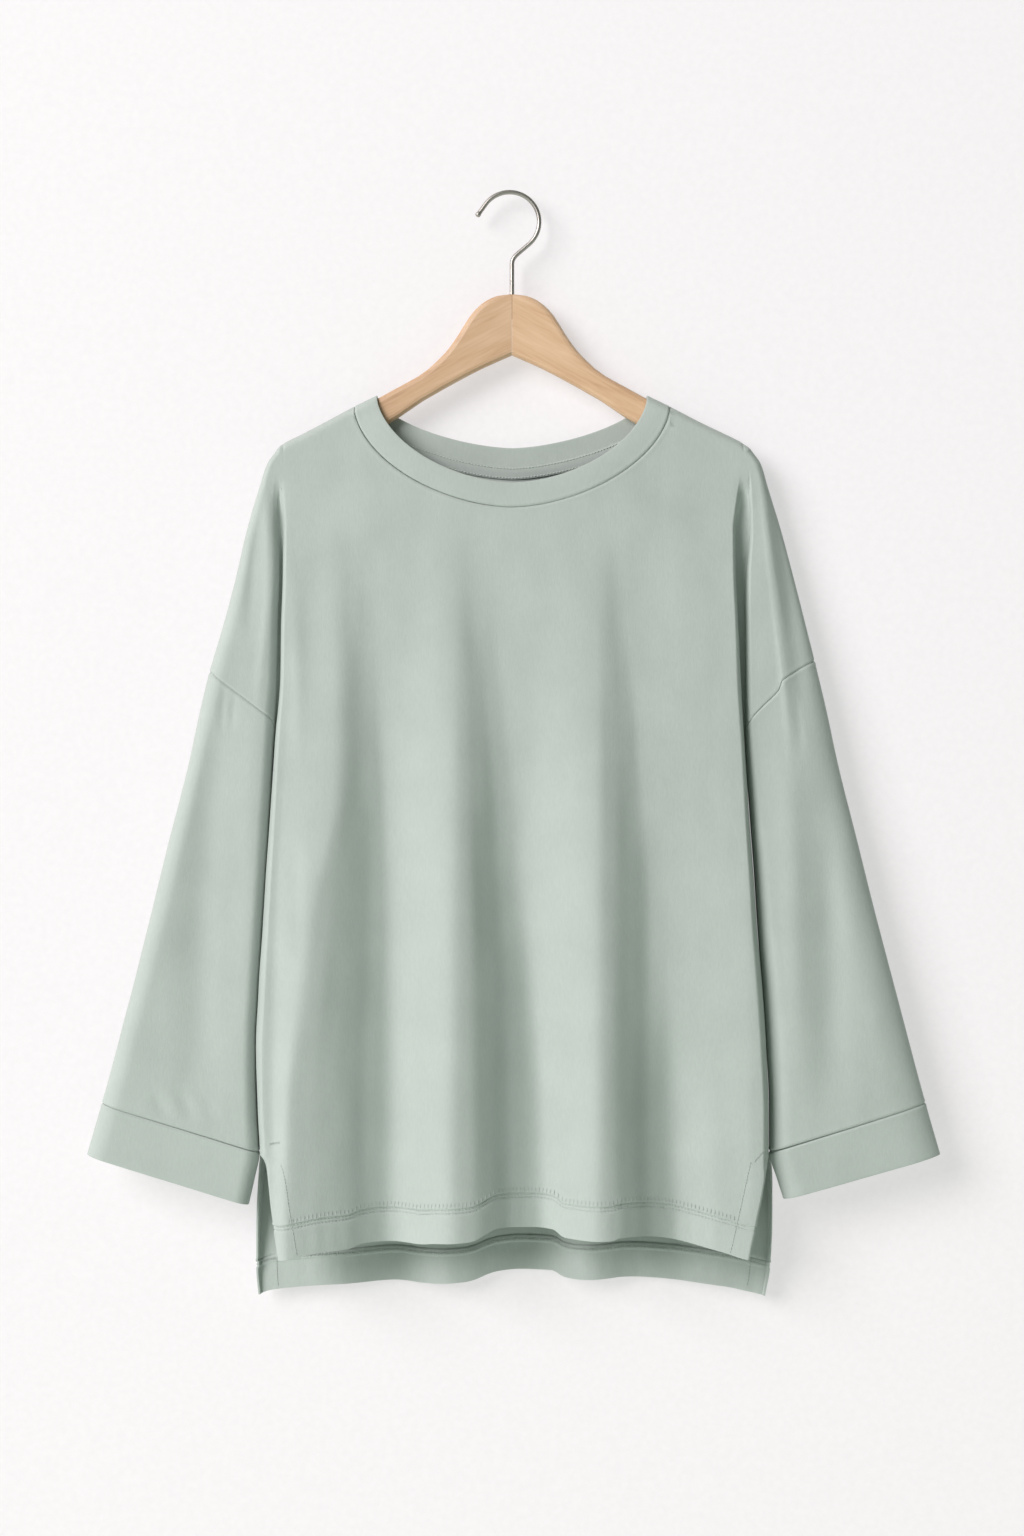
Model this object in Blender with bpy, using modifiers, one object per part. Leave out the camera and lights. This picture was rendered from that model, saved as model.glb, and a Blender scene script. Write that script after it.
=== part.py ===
"""A long-sleeved t-shirt with dropped shoulders, hung on a wooden hanger with a steel hook.

The garment hangs in the XZ plane with its front towards -Y. Left and right are as seen from the front.
Sizes are in millimetres, measured from the middle of the garment and from the inside top of the hook.
"""

import bisect
import math

import bmesh
import bpy
from mathutils import Vector

MM = 0.001
SIGN = {"left": -1, "right": 1}

# Cloth
WALL = 1.2
BAND_WALL = 2.0
SEAM_GAP = 0.3
# Each side of a side or shoulder seam stops this far from the plane between front and back
HALF_GAP = 0.22
# At the underarm, where two walls turn inward, each stops this far from that plane
CROTCH_GAP = 1.8
# The armhole seam falls steeply into the underarm, so its gap is this much larger when measured straight down
STEEP_SEAM = 6

# Neck: half widths at the seam and at the band's top edge, and the heights where both cross the shoulder
NECK_SEAM_HALF = 142.0
NECK_EDGE_HALF = 121.5
NECK_SEAM_TOP = -191.0
NECK_EDGE_TOP = -181.0
BAND_GAP_AT_SHOULDER = 0.8
BAND_GAP_FADE = math.radians(25)
TAPE_HALF_WIDTH = 5.5
TAPE_REACH = 112.0

# Shoulder: how the cloth rounds over the hanger's arm, and the seam's last point, at the hanger's tip
ARM_ROUND = 8.5
TIP = {"left": (212.0, -230.5), "right": (215.0, -230.0)}
TIP_TURN = math.radians(45)
BODY_EDGE_TOP = -232.0
ARM_INNER_TOP = -234.0
# The cloth leaves the hanger's thickness over this height
BILLOW_HEIGHT = 110.0

# Heights of the seams, the slits and the cuffs
UNDERARM = -491.0
SLIT_TOP = -862.0
ARMHOLE_TOP = -429.5
CUFF_SEAM_OUTER = -817.0
CUFF_SEAM_INNER = -861.0
CUFF_END_OUTER = -863.5
CUFF_END_INNER = {"left": -908.5, "right": -903.5}
CUFF_END_DEPTH = 14.0

# Heights between which the folds begin and reach their lower size
FOLDS_BEGIN = -300.0
FOLDS_HIGH = -480.0
FOLDS_LOW = -800.0

# Hanger
ARM_HALF_THICKNESS = 5.5
ARM_EDGE_ROUND = 4.8
WIRE_RADIUS = 2.05
HOOK_RADIUS = 26.7
HOOK_TIP_ANGLE = 142
HOOK_BEND_ANGLE = -48
STEM_X = 2.2
STEM_END = -112.0
BORE_CLEARANCE = 0.35
BORE_OVERRUN = 10.0
BORE_SIDES = 16

# Mesh fineness
SEAM_ANGLES = (0, 8, 35, 62, 90)
EDGE_ANGLES = (0, 6, 32, 60, 90)
NECK_STEPS = 8
SHOULDER_STEPS = 3
CHEST_ROWS = 7
BODY_ROWS = 7
HEM_ROWS = 3
SLEEVE_ROWS = 9
CUFF_ROWS = 2
FACE_STEPS = 2
BAND_ROWS = 2


class Curve:
    """A smooth curve through values at rising places, with no overshoot between them."""

    def __init__(self, places, values):
        if places[0] > places[-1]:
            places, values = places[::-1], values[::-1]
        self.places, self.values = places, values
        steps = [b - a for a, b in zip(places, places[1:])]
        rises = [(b - a) / step for a, b, step in zip(values, values[1:], steps)]
        self.slopes = [rises[0]]
        for before, after in zip(rises, rises[1:]):
            self.slopes.append(2 * before * after / (before + after) if before * after > 0 else 0.0)
        self.slopes.append(rises[-1])

    def __call__(self, place):
        place = min(max(place, self.places[0]), self.places[-1])
        i = min(bisect.bisect_right(self.places, place), len(self.places) - 1) - 1
        step = self.places[i + 1] - self.places[i]
        t = (place - self.places[i]) / step
        ease = t * t * (3 - 2 * t)
        leave = self.slopes[i] * t * (1 - t) ** 2
        arrive = self.slopes[i + 1] * t * t * (t - 1)
        return self.values[i] * (1 - ease) + self.values[i + 1] * ease + step * (leave + arrive)


class Table:
    """Named columns of sizes. Each is read as a curve over the first column."""

    def __init__(self, names, *rows):
        places = [row[0] for row in rows]
        for index, name in enumerate(names.split()[1:], 1):
            setattr(self, name, Curve(places, [row[index] for row in rows]))


# Height of the shoulder line over each distance from the middle
SHOULDER = Table(
    "x left right",
    (0, -120, -120),
    (121.5, -181, -181),
    (142, -191, -191),
    (170, -206, -205.5),
    (192, -217.5, -216),
    (205, -224, -222.5),
    (212, -230.5, -227.5),
    (215, -234.5, -230),
)

# Distance of the sleeve's outer edge from the middle
OUTLINE = Table(
    "z left right",
    (-230, 211.5, 215),
    (-243, 220.5, 224),
    (-263, 227, 230),
    (-302, 238.5, 242),
    (-347, 249, 254),
    (-392, 261, 265.5),
    (-429, 272, 275),
    (-466, 281, 283.5),
    (-509, 290, 292.5),
    (-581, 307, 310.5),
    (-653, 324, 328.5),
    (-725, 343, 347.5),
    (-797, 363, 366.5),
    (-833, 373.5, 376.5),
    (-864, 382.5, 385.5),
)

# Edge of the body, inner edge of the arm beside it, and how far round the body's side turns
BODY = Table(
    "z left right arm_left arm_right round",
    (-232, 203.5, 206, 205, 207.5, 3),
    (-254, 207, 208, 210, 212.5, 6),
    (-304, 205, 200.5, 209.5, 213.5, 10),
    (-343, 205.5, 201, 209, 210.6, 12),
    (-381, 207, 203, 210, 209.7, 13),
    (-440, 208.5, 205.5, 211.5, 210.6, 14),
    (-491, 212.5, 209, 215, 212, 15),
    (-554, 216.5, 213, 218.5, 215.5, 18),
    (-608, 220, 217, 222, 219.5, 20),
    (-662, 223.5, 220.5, 225.5, 223, 21),
    (-716, 227, 225, 229, 227.5, 22),
    (-770, 229.5, 228.5, 231.5, 231, 23),
    (-824, 228.5, 231, 230.3, 233, 24),
    (-862, 226.5, 231, 228.3, 232.8, 24),
    (-909, 235, 244, 237, 246, 24),
)

# Depth of the valley between body and arm, measured forward from the side seam's plane
VALLEY = Table(
    "z left right",
    (-232, 8.5, 8.5),
    (-254, 8.5, 8.2),
    (-270, 8, 6.5),
    (-304, 6.5, 3.5),
    (-343, 5, 2.8),
    (-381, 4, 2.4),
    (-440, 2.5, 1.8),
    (-491, CROTCH_GAP, CROTCH_GAP),
    (-506, HALF_GAP, HALF_GAP),
)

# The shoulder end of each panel, from the hanger's tip (0) to the armhole seam (1)
UPPER_ARM = Table(
    "down slope round_out round_in depth",
    (0, 1.0, 6, 0.5, 8.5),
    (0.1, 0.92, 8, 2, 9.5),
    (0.3, 0.84, 11, 5, 11),
    (0.6, 0.78, 15, 7.5, 13),
    (1, 0.75, 18, 9, 15),
)

# The sleeve, from the armhole seam (0) to the cuff seam (1)
LOWER_ARM = Table(
    "down slope round_out round_in depth",
    (0, 0.75, 18, 9, 15),
    (0.25, 0.62, 22, 13, 16.5),
    (0.5, 0.5, 26, 17, 17.5),
    (0.75, 0.39, 30, 21, 17),
    (1, 0.3077, 34, 24, 16),
)


def smooth(value):
    """A soft step from 0 to 1."""
    t = min(max(value, 0.0), 1.0)
    return t * t * (3 - 2 * t)


def mix(start, end, share):
    return start + (end - start) * share


def steps(count):
    return [i / count for i in range(count + 1)]


class Panel:
    """The front or the back: its depths, folds, neck and hem."""

    def __init__(self, facing, neck_drop, neck_power, edge_drop, edge_power, depths, folds, hem, slit):
        self.facing = facing
        self.neck_drop, self.neck_power = neck_drop, neck_power
        self.edge_drop, self.edge_power = edge_drop, edge_power
        self.depths, self.folds, self.hem, self.slit = depths, folds, hem, slit

    def fold(self, x, z):
        """How far the cloth stands towards the viewer at a place, from the folds on each side of it."""
        lower = smooth((FOLDS_HIGH - z) / (FOLDS_HIGH - FOLDS_LOW))
        upper = smooth((FOLDS_BEGIN - z) / (FOLDS_BEGIN - FOLDS_HIGH))
        across = min(max((FOLDS_BEGIN - z) / (FOLDS_BEGIN - SLIT_TOP), 0), 1)
        places = [mix(row[0], row[1], across) for row in self.folds]
        values = [mix(row[2], row[3], lower) * upper for row in self.folds]
        return Curve(places, values)(x)

    def depth(self, side, x, z):
        """Distance from the side seams' plane to the cloth, over the body."""
        drop = SHOULDER_OF[side](x) - z
        if drop < ARM_ROUND:
            return ARM_ROUND * math.sqrt(max(1 - (1 - drop / ARM_ROUND) ** 2, 0))
        flat = self.depths.depth(z) - self.facing * self.fold(SIGN[side] * x, z)
        return mix(ARM_ROUND, flat, smooth((drop - ARM_ROUND) / BILLOW_HEIGHT))

    def neck_seam(self, angle):
        """Distance from the middle and height of the neck seam, by an angle that is 0 at the shoulder."""
        share = math.cos(angle)
        fall = (1 - share**self.neck_power) ** (1 / self.neck_power)
        return NECK_SEAM_HALF * share, NECK_SEAM_TOP - self.neck_drop * fall

    def neck_edge(self, angle):
        share = math.cos(angle)
        fall = (1 - share**self.edge_power) ** (1 / self.edge_power)
        return NECK_EDGE_HALF * share, NECK_EDGE_TOP - self.edge_drop * fall

    def neck_angles(self):
        """Angles that step evenly over the hanger's arm and then round to the middle."""
        angles = [self.angle_over_arm(math.radians(turn)) for turn in (0, 22.5, 45, 67.5, 90)]
        last = angles[-1]
        return angles + [mix(last, math.pi / 2, share) for share in steps(NECK_STEPS)[1:]]

    def angle_over_arm(self, turn):
        """The neck angle at which the seam has turned this far over the hanger's arm."""
        wanted = ARM_ROUND * (1 - math.cos(turn))
        low, high = 0.0, math.pi / 2
        for _ in range(40):
            middle = (low + high) / 2
            x, z = self.neck_seam(middle)
            low, high = (middle, high) if SHOULDER.left(x) - z < wanted else (low, middle)
        return low

    def edge(self, side, z):
        """Distance of the body's edge from the middle, and how far forward the edge lies."""
        valley = getattr(VALLEY, side)(z)
        if z < SLIT_TOP:
            return getattr(self.slit, side)(z), max(self.slit.open(z), HALF_GAP)
        return getattr(BODY, side)(z), valley


SHOULDER_OF = {"left": SHOULDER.left, "right": SHOULDER.right}

# Each fold's place across the body high and low, and how far it stands out there, towards the viewer
FRONT_FOLDS = (
    (-205, -210, 0, 0),
    (-176, -172, 1.5, 4),
    (-128, -110, -2.5, -9),
    (-62, -56, 3, 9),
    (-8, 7, -3, -12),
    (68, 79, 3, 10),
    (108, 122, -3, -8),
    (165, 172, 2, 3),
    (205, 212, 0, 0),
)
BACK_FOLDS = (
    (-205, -215, 0, 0),
    (-160, -165, 1, 2),
    (-118, -104, -2, -6),
    (-66, -60, 2, 6),
    (-6, 12, -2, -8),
    (62, 70, 2, 7),
    (104, 116, -2, -5),
    (160, 170, 1, 3),
    (205, 215, 0, 0),
)
FRONT = Panel(
    facing=-1,
    neck_drop=92,
    neck_power=1.57,
    edge_drop=77.5,
    edge_power=1.78,
    depths=Table(
        "z depth",
        (-191, 9),
        (-240, 13),
        (-282, 16),
        (-350, 21),
        (-430, 25),
        (-520, 28),
        (-700, 31),
        (-960, 33),
    ),
    folds=FRONT_FOLDS,
    hem=Table(
        "x height",
        (-212, -954),
        (-142, -942),
        (-100, -937),
        (-50, -938.5),
        (5, -925),
        (50, -934),
        (88, -937.5),
        (130, -933),
        (170, -938.5),
        (212, -953),
    ),
    slit=Table(
        "z left right open",
        (-862, 226.5, 231, HALF_GAP),
        (-870, 222, 229.5, 3),
        (-905, 214.5, 222, 9),
        (-933, 212, 217.5, 13),
        (-955, 210, 212.5, 16),
    ),
)
BACK = Panel(
    facing=1,
    neck_drop=59,
    neck_power=1.6,
    edge_drop=46,
    edge_power=1.62,
    depths=Table(
        "z depth",
        (-191, 9),
        (-240, 12),
        (-300, 15),
        (-430, 20),
        (-520, 23),
        (-700, 26),
        (-1000, 28),
    ),
    folds=BACK_FOLDS,
    hem=Table(
        "x height",
        (-228, -995),
        (-196, -985.5),
        (-140, -981),
        (-60, -983),
        (12, -971),
        (70, -981),
        (118, -977),
        (171, -983.5),
        (227, -996),
    ),
    slit=Table(
        "z left right open",
        (-862, 226.5, 231, HALF_GAP),
        (-880, 227, 231, 3),
        (-930, 228.5, 232.5, 9),
        (-970, 229.5, 231, 13),
        (-997, 228, 228, 15),
    ),
)


def place(side, facing, x, depth, z):
    """A point in metres from a distance from the middle, a depth and a height."""
    return Vector((SIGN[side] * x + STEM_X, facing * depth, z)) * MM


def seam_strip_over_shoulder(panel, side, x, top):
    """Points down the cloth from the shoulder or neck seam, as far as a quarter turn over the arm."""
    start = SHOULDER_OF[side](x) - top
    quarter = ARM_ROUND * math.pi / 2
    if start < ARM_ROUND:
        done = ARM_ROUND * math.acos(1 - max(start, 0) / ARM_ROUND)
    else:
        done = quarter + start - ARM_ROUND
    points = []
    for angle in SEAM_ANGLES:
        length = done + ARM_ROUND * math.radians(angle)
        if length < quarter - 1e-6:
            drop = ARM_ROUND * (1 - math.cos(length / ARM_ROUND))
        else:
            drop = ARM_ROUND + length - quarter
        z = SHOULDER_OF[side](x) - drop
        points.append((x, max(panel.depth(side, x, z), HALF_GAP), z))
    return points


def seam_strip_round_corner(side, share):
    """Points from the seam inward, between the straight shoulder (0) and the hanger's tip (1)."""
    start = getattr(BODY, side)(BODY_EDGE_TOP)
    x = mix(start, TIP[side][0], share)
    z = SHOULDER_OF[side](x)
    turn = TIP_TURN * smooth(share)
    reach = mix(ARM_ROUND, UPPER_ARM.round_out(0) / math.cos(TIP_TURN), share)
    points = []
    for angle in SEAM_ANGLES:
        along = reach * (1 - math.cos(math.radians(angle)))
        depth = max(ARM_ROUND * math.sin(math.radians(angle)), HALF_GAP)
        points.append((x - along * math.sin(turn), depth, z - along * math.cos(turn)))
    return points


def arm_section(outer, inner, slope, round_out, round_in, depth, valley, start_angles=EDGE_ANGLES):
    """Points from the outer edge over the arm's face to its inner edge, for one side of the cloth."""
    width = outer[0] - inner[0]
    dip = outer[1] - slope * width - inner[1]
    points = []
    for angle in start_angles:
        turn = math.radians(angle)
        across = round_out * (1 - math.cos(turn))
        points.append((outer[0] - across, depth * math.sin(turn), outer[1] - slope * across))
    for share in steps(FACE_STEPS)[1:-1]:
        across = mix(round_out, width - round_in, share)
        points.append((outer[0] - across, depth, outer[1] - slope * across))
    for angle in reversed(EDGE_ANGLES):
        turn = math.radians(angle)
        across = width - round_in * (1 - math.cos(turn))
        lie = valley + (depth - valley) * math.sin(turn)
        points.append((outer[0] - across, lie, outer[1] - slope * across - dip * (1 - math.sin(turn))))
    return points


def upper_arm_section(side, share):
    """The arm's face on a body panel, from the hanger's tip (0) to the armhole seam (1)."""
    outer_z = mix(TIP[side][1], ARMHOLE_TOP, share)
    outer = (getattr(OUTLINE, side)(outer_z) if share > 0 else TIP[side][0], outer_z)
    inner_z = mix(ARM_INNER_TOP, UNDERARM, share)
    inner = (getattr(BODY, "arm_" + side)(inner_z), inner_z)
    sizes = [getattr(UPPER_ARM, name)(share) for name in ("slope", "round_out", "round_in", "depth")]
    points = arm_section(outer, inner, *sizes, getattr(VALLEY, side)(inner_z), SEAM_ANGLES)
    return [(x, max(depth, HALF_GAP), z) for x, depth, z in points]


def lower_arm_section(side, share, gap=0.0):
    outer_z = mix(ARMHOLE_TOP, CUFF_SEAM_OUTER, share) - gap
    inner_z = mix(UNDERARM, CUFF_SEAM_INNER, share) - gap * STEEP_SEAM
    outer = (getattr(OUTLINE, side)(outer_z), outer_z)
    inner = (getattr(BODY, "arm_" + side)(inner_z), inner_z)
    sizes = [getattr(LOWER_ARM, name)(share) for name in ("slope", "round_out", "round_in", "depth")]
    return arm_section(outer, inner, *sizes, CROTCH_GAP)


def body_row(panel, side, height_of, spread):
    """Points across one half of the body, from its edge to the middle, at the heights that are given."""
    points = []
    edge_z = height_of(0)
    edge_x, valley = panel.edge(side, edge_z)
    turn_round = BODY.round(edge_z)
    for index, angle in enumerate(EDGE_ANGLES):
        turn = math.radians(angle)
        z = height_of(index)
        x = edge_x - turn_round * (1 - math.cos(turn))
        full = panel.depth(side, x, z)
        points.append((x, valley + (full - valley) * math.sin(turn), z))
    for offset, share in enumerate(spread, len(EDGE_ANGLES)):
        z = height_of(offset)
        x = (edge_x - turn_round) * share
        points.append((x, panel.depth(side, x, z), z))
    return points


def body_columns(panel, side):
    """The top of each column of the body, from its edge to the middle, as (x, z) pairs."""
    edge = getattr(BODY, side)(BODY_EDGE_TOP)
    turn_round = BODY.round(BODY_EDGE_TOP)
    columns = [edge - turn_round * (1 - math.cos(math.radians(angle))) for angle in EDGE_ANGLES]
    columns += [mix(edge - turn_round, NECK_SEAM_HALF, share) for share in steps(SHOULDER_STEPS)[1:-1]]
    tops = [(x, SHOULDER_OF[side](x)) for x in columns]
    return tops + [panel.neck_seam(angle) for angle in panel.neck_angles()]


def half_panel(panel, side):
    """The grids of points that make up one half of the front or the back."""
    tops = body_columns(panel, side)
    strips = [seam_strip_over_shoulder(panel, side, x, z) for x, z in tops]
    feet = [strip[-1] for strip in strips]
    first = len(EDGE_ANGLES)
    even = steps(len(tops) - first)[1:]
    inner_edge = feet[first - 1][0]
    rows = []
    for share in steps(CHEST_ROWS):
        spread = [mix(feet[first + i][0] / inner_edge, 1 - even[i], smooth(share)) for i in range(len(even))]
        rows.append(body_row(panel, side, lambda i, s=share: mix(feet[i][2], UNDERARM, s), spread))
    level = [1 - share for share in even]
    for share in steps(BODY_ROWS)[1:]:
        rows.append(body_row(panel, side, lambda i, s=share: mix(UNDERARM, SLIT_TOP, s), level))
    across = [x for x, _, _ in rows[-1]]
    ends = [panel.hem.height(SIGN[side] * x) for x in across]
    for share in steps(HEM_ROWS)[1:]:
        rows.append(body_row(panel, side, lambda i, s=share: mix(SLIT_TOP, ends[i], s), level))
    arms = [upper_arm_section(side, share) for share in steps(CHEST_ROWS)]
    strip_end = len(SEAM_ANGLES) - 1
    arm_block = [section[strip_end:] for section in arms]
    arm_edge = [section[: strip_end + 1] for section in arms]
    # The valley's bottom joins the body's edge to the arm's inner edge
    valley = []
    for body, arm in zip(rows, arm_block):
        low = max(min(body[0][1], arm[-1][1]) - (arm[-1][0] - body[0][0]) / 2, CROTCH_GAP)
        middle = [(body[0][0] + arm[-1][0]) / 2, low, (body[0][2] + arm[-1][2]) / 2]
        valley.append([arm[-1], tuple(middle), body[0]])
    # The strip round the hanger's tip meets the top of the arm's block and of the valley
    top_line = arm_block[0] + valley[0][1:]
    round_tip = []
    for index, end in enumerate(top_line):
        strip = seam_strip_round_corner(side, 1 - index / (len(top_line) - 1))
        shift = [end[i] - strip[-1][i] for i in range(3)]
        weight = [smooth(i / (len(strip) - 1)) for i in range(len(strip))]
        moved = [tuple(point[i] + shift[i] * w for i in range(3)) for point, w in zip(strip, weight)]
        round_tip.append([(x, max(depth, HALF_GAP), z) for x, depth, z in moved])
    round_tip[0] = arm_edge[0]
    round_tip[-1] = strips[0]
    return [rows, strips, arm_block, arm_edge, valley, round_tip]


def grid_faces(rows, start, closed=False):
    """Quads between neighbouring rows of points that are numbered from a start."""
    width = len(rows[0])
    faces = []
    for i in range(len(rows) - 1):
        for j in range(width if closed else width - 1):
            a = start + i * width + j
            b = start + i * width + (j + 1) % width
            faces.append((a, b, b + width, a + width))
    return faces


def cloth(name, grids, wall, outward, material, closed=False):
    """A wall of cloth inside the surface that the grids describe; outward says which way is out at a point."""
    points, faces = [], []
    for rows in grids:
        faces += grid_faces(rows, len(points), closed)
        points += [point for row in rows for point in row]
    mesh = bpy.data.meshes.new(name)
    mesh.from_pydata(points, [], faces)
    shape = bmesh.new()
    shape.from_mesh(mesh)
    bmesh.ops.remove_doubles(shape, verts=shape.verts, dist=0.00001)
    bmesh.ops.recalc_face_normals(shape, faces=shape.faces)
    votes = sum(face.normal.dot(outward(face.calc_center_median())) for face in shape.faces)
    if votes < 0:
        bmesh.ops.reverse_faces(shape, faces=shape.faces)
    shape.to_mesh(mesh)
    shape.free()
    mesh.shade_smooth()
    mesh.materials.append(material)
    piece = bpy.data.objects.new(name, mesh)
    garment.objects.link(piece)
    thick = piece.modifiers.new("wall", "SOLIDIFY")
    thick.thickness = wall * MM
    thick.offset = -1
    return piece


def make_panel(name, panel, material):
    grids = []
    for side in SIGN:
        for rows in half_panel(panel, side):
            grids.append([[place(side, panel.facing, *point) for point in row] for row in rows])
    return cloth(name, grids, WALL, lambda centre: Vector((0, panel.facing, 0)), material)


def ring_round(side, sections):
    """Closed rings from sections of the front, mirrored for the back."""
    rings = []
    for section in sections:
        front = [place(side, -1, *point) for point in section]
        back = [place(side, 1, *point) for point in section[:0:-1]]
        rings.append(front + back)
    return rings


def middle_of(rings):
    return sum((point for ring in rings for point in ring), Vector()) / sum(map(len, rings))


def make_sleeve(side, material):
    sections = [lower_arm_section(side, share, SEAM_GAP * (1 - share)) for share in steps(SLEEVE_ROWS)]
    rings = ring_round(side, sections)
    outward = away_from(middle_of(rings), middle_of(rings[-1:]) - middle_of(rings[:1]))
    return cloth("sleeve_" + side, [rings], WALL, outward, material, closed=True)


def away_from(middle, axis):
    """The direction away from a line, for the outside of a tube."""
    line = axis.normalized()

    def outward(centre):
        reach = centre - middle
        return (reach - line * reach.dot(line)).normalized()

    return outward


def make_cuff(side, material):
    """A doubled band below the cuff seam."""
    outer_x = getattr(OUTLINE, side)
    inner_x = getattr(BODY, "arm_" + side)
    sections = []
    for share in steps(CUFF_ROWS):
        outer_z = mix(CUFF_SEAM_OUTER - SEAM_GAP, CUFF_END_OUTER, share)
        inner_z = mix(CUFF_SEAM_INNER - SEAM_GAP, CUFF_END_INNER[side], share)
        outer = (outer_x(outer_z), outer_z)
        inner = (inner_x(inner_z), inner_z)
        slope = (outer_z - inner_z) / (outer[0] - inner[0])
        depth = mix(LOWER_ARM.depth(1), CUFF_END_DEPTH, share)
        rounds = LOWER_ARM.round_out(1), LOWER_ARM.round_in(1)
        sections.append(arm_section(outer, inner, slope, *rounds, depth, CROTCH_GAP))
    rings = ring_round(side, sections)
    outward = away_from(middle_of(rings), Vector((0, 0, 1)))
    return cloth("cuff_" + side, [rings], BAND_WALL, outward, material, closed=True)


def band_column(panel, side, angle):
    """Points up the neck band from its seam to its edge, with more room where it turns over the shoulder."""
    wall_gap = mix(BAND_GAP_AT_SHOULDER, SEAM_GAP, smooth(angle / BAND_GAP_FADE))
    seam, edge = panel.neck_seam(angle), panel.neck_edge(angle)
    length = math.hypot(seam[0] - edge[0], seam[1] - edge[1])
    points = []
    for share in steps(BAND_ROWS):
        along = mix(wall_gap / length, 1, share)
        x, z = mix(seam[0], edge[0], along), mix(seam[1], edge[1], along)
        points.append((x, panel.depth(side, x, z) if angle > 0 else 0.0, z))
    return points


def make_neck_band(material):
    columns = []
    quarters = ((FRONT, "left", 1), (FRONT, "right", -1), (BACK, "right", 1), (BACK, "left", -1))
    for panel, side, turn in quarters:
        angles = panel.neck_angles()[::turn]
        for angle in angles[:-1]:
            columns.append([place(side, panel.facing, *point) for point in band_column(panel, side, angle)])
    rings = [list(ring) for ring in zip(*columns)]
    outward = away_from(middle_of(rings), Vector((0, 0, 1)))
    return cloth("neck_band", [rings], BAND_WALL, outward, material, closed=True)


def make_neck_tape(material):
    """A strip that covers the inside of the back neck seam."""
    columns = []
    for side, turn in (("left", 1), ("right", -1)):
        angles = [angle for angle in BACK.neck_angles() if BACK.neck_seam(angle)[0] < TAPE_REACH][::turn]
        for angle in angles[1:] if turn < 0 else angles:
            seam, edge = BACK.neck_seam(angle), BACK.neck_edge(angle)
            up = Vector((edge[0] - seam[0], edge[1] - seam[1])).normalized()
            column = []
            for offset in (-TAPE_HALF_WIDTH, 0, TAPE_HALF_WIDTH):
                x, z = seam[0] + up[0] * offset, seam[1] + up[1] * offset
                depth = BACK.depth(side, x, z) - BAND_WALL - SEAM_GAP
                column.append(place(side, BACK.facing, x, depth, z))
            columns.append(column)
    return cloth("neck_tape", [columns], WALL, lambda centre: Vector((0, 1, 0)), material)


def principled(name, colour, roughness, metallic=0.0):
    material = bpy.data.materials.new(name)
    material.use_nodes = True
    shader = material.node_tree.nodes["Principled BSDF"]
    shader.inputs["Base Color"].default_value = (*colour, 1)
    shader.inputs["Roughness"].default_value = roughness
    shader.inputs["Metallic"].default_value = metallic
    material.diffuse_color = (*colour, 1)
    return material


# Distance from the middle and height of points round one arm of the hanger, from its crown to its notch
HANGER_TOP = Table(
    "x height",
    (0, -89.8),
    (13, -91.4),
    (22, -95),
    (31.5, -102.3),
    (38.5, -110.5),
    (45, -121),
    (52, -132),
    (60, -142.5),
    (69, -151.5),
    (79, -160.3),
    (93, -168.6),
    (106, -175.6),
    (120, -183.3),
    (142, -194),
    (150, -197.6),
    (170, -208),
    (192, -219.6),
    (200, -223.6),
)
HANGER_BOTTOM = Table(
    "x height",
    (0, -145),
    (8, -148.5),
    (27, -157),
    (59, -174),
    (80, -186),
    (108, -205),
    (120, -212),
    (142, -224),
    (170, -238.5),
    (194, -250.5),
)
HANGER_END = ((205.5, -227.5), (209, -234), (209.3, -241), (205.5, -247.5), (200, -250.8))
TOP_PLACES = (0, 7, 13, 18, 23, 28, 33, 38, 43, 48, 54, 60, 67, 75, 84, 95, 108, 120, 142, 170, 200)
BOTTOM_PLACES = (194, 170, 142, 120, 100, 80, 59, 40, 27, 14, 7, 0)


def hanger_outline():
    """Points round the whole hanger in the XZ plane."""
    top = [(x, HANGER_TOP.height(x)) for x in TOP_PLACES]
    bottom = [(x, HANGER_BOTTOM.height(x)) for x in BOTTOM_PLACES]
    right = top + list(HANGER_END) + bottom
    left = [(-x, z) for x, z in reversed(right[1:-1])]
    return right + left


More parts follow.
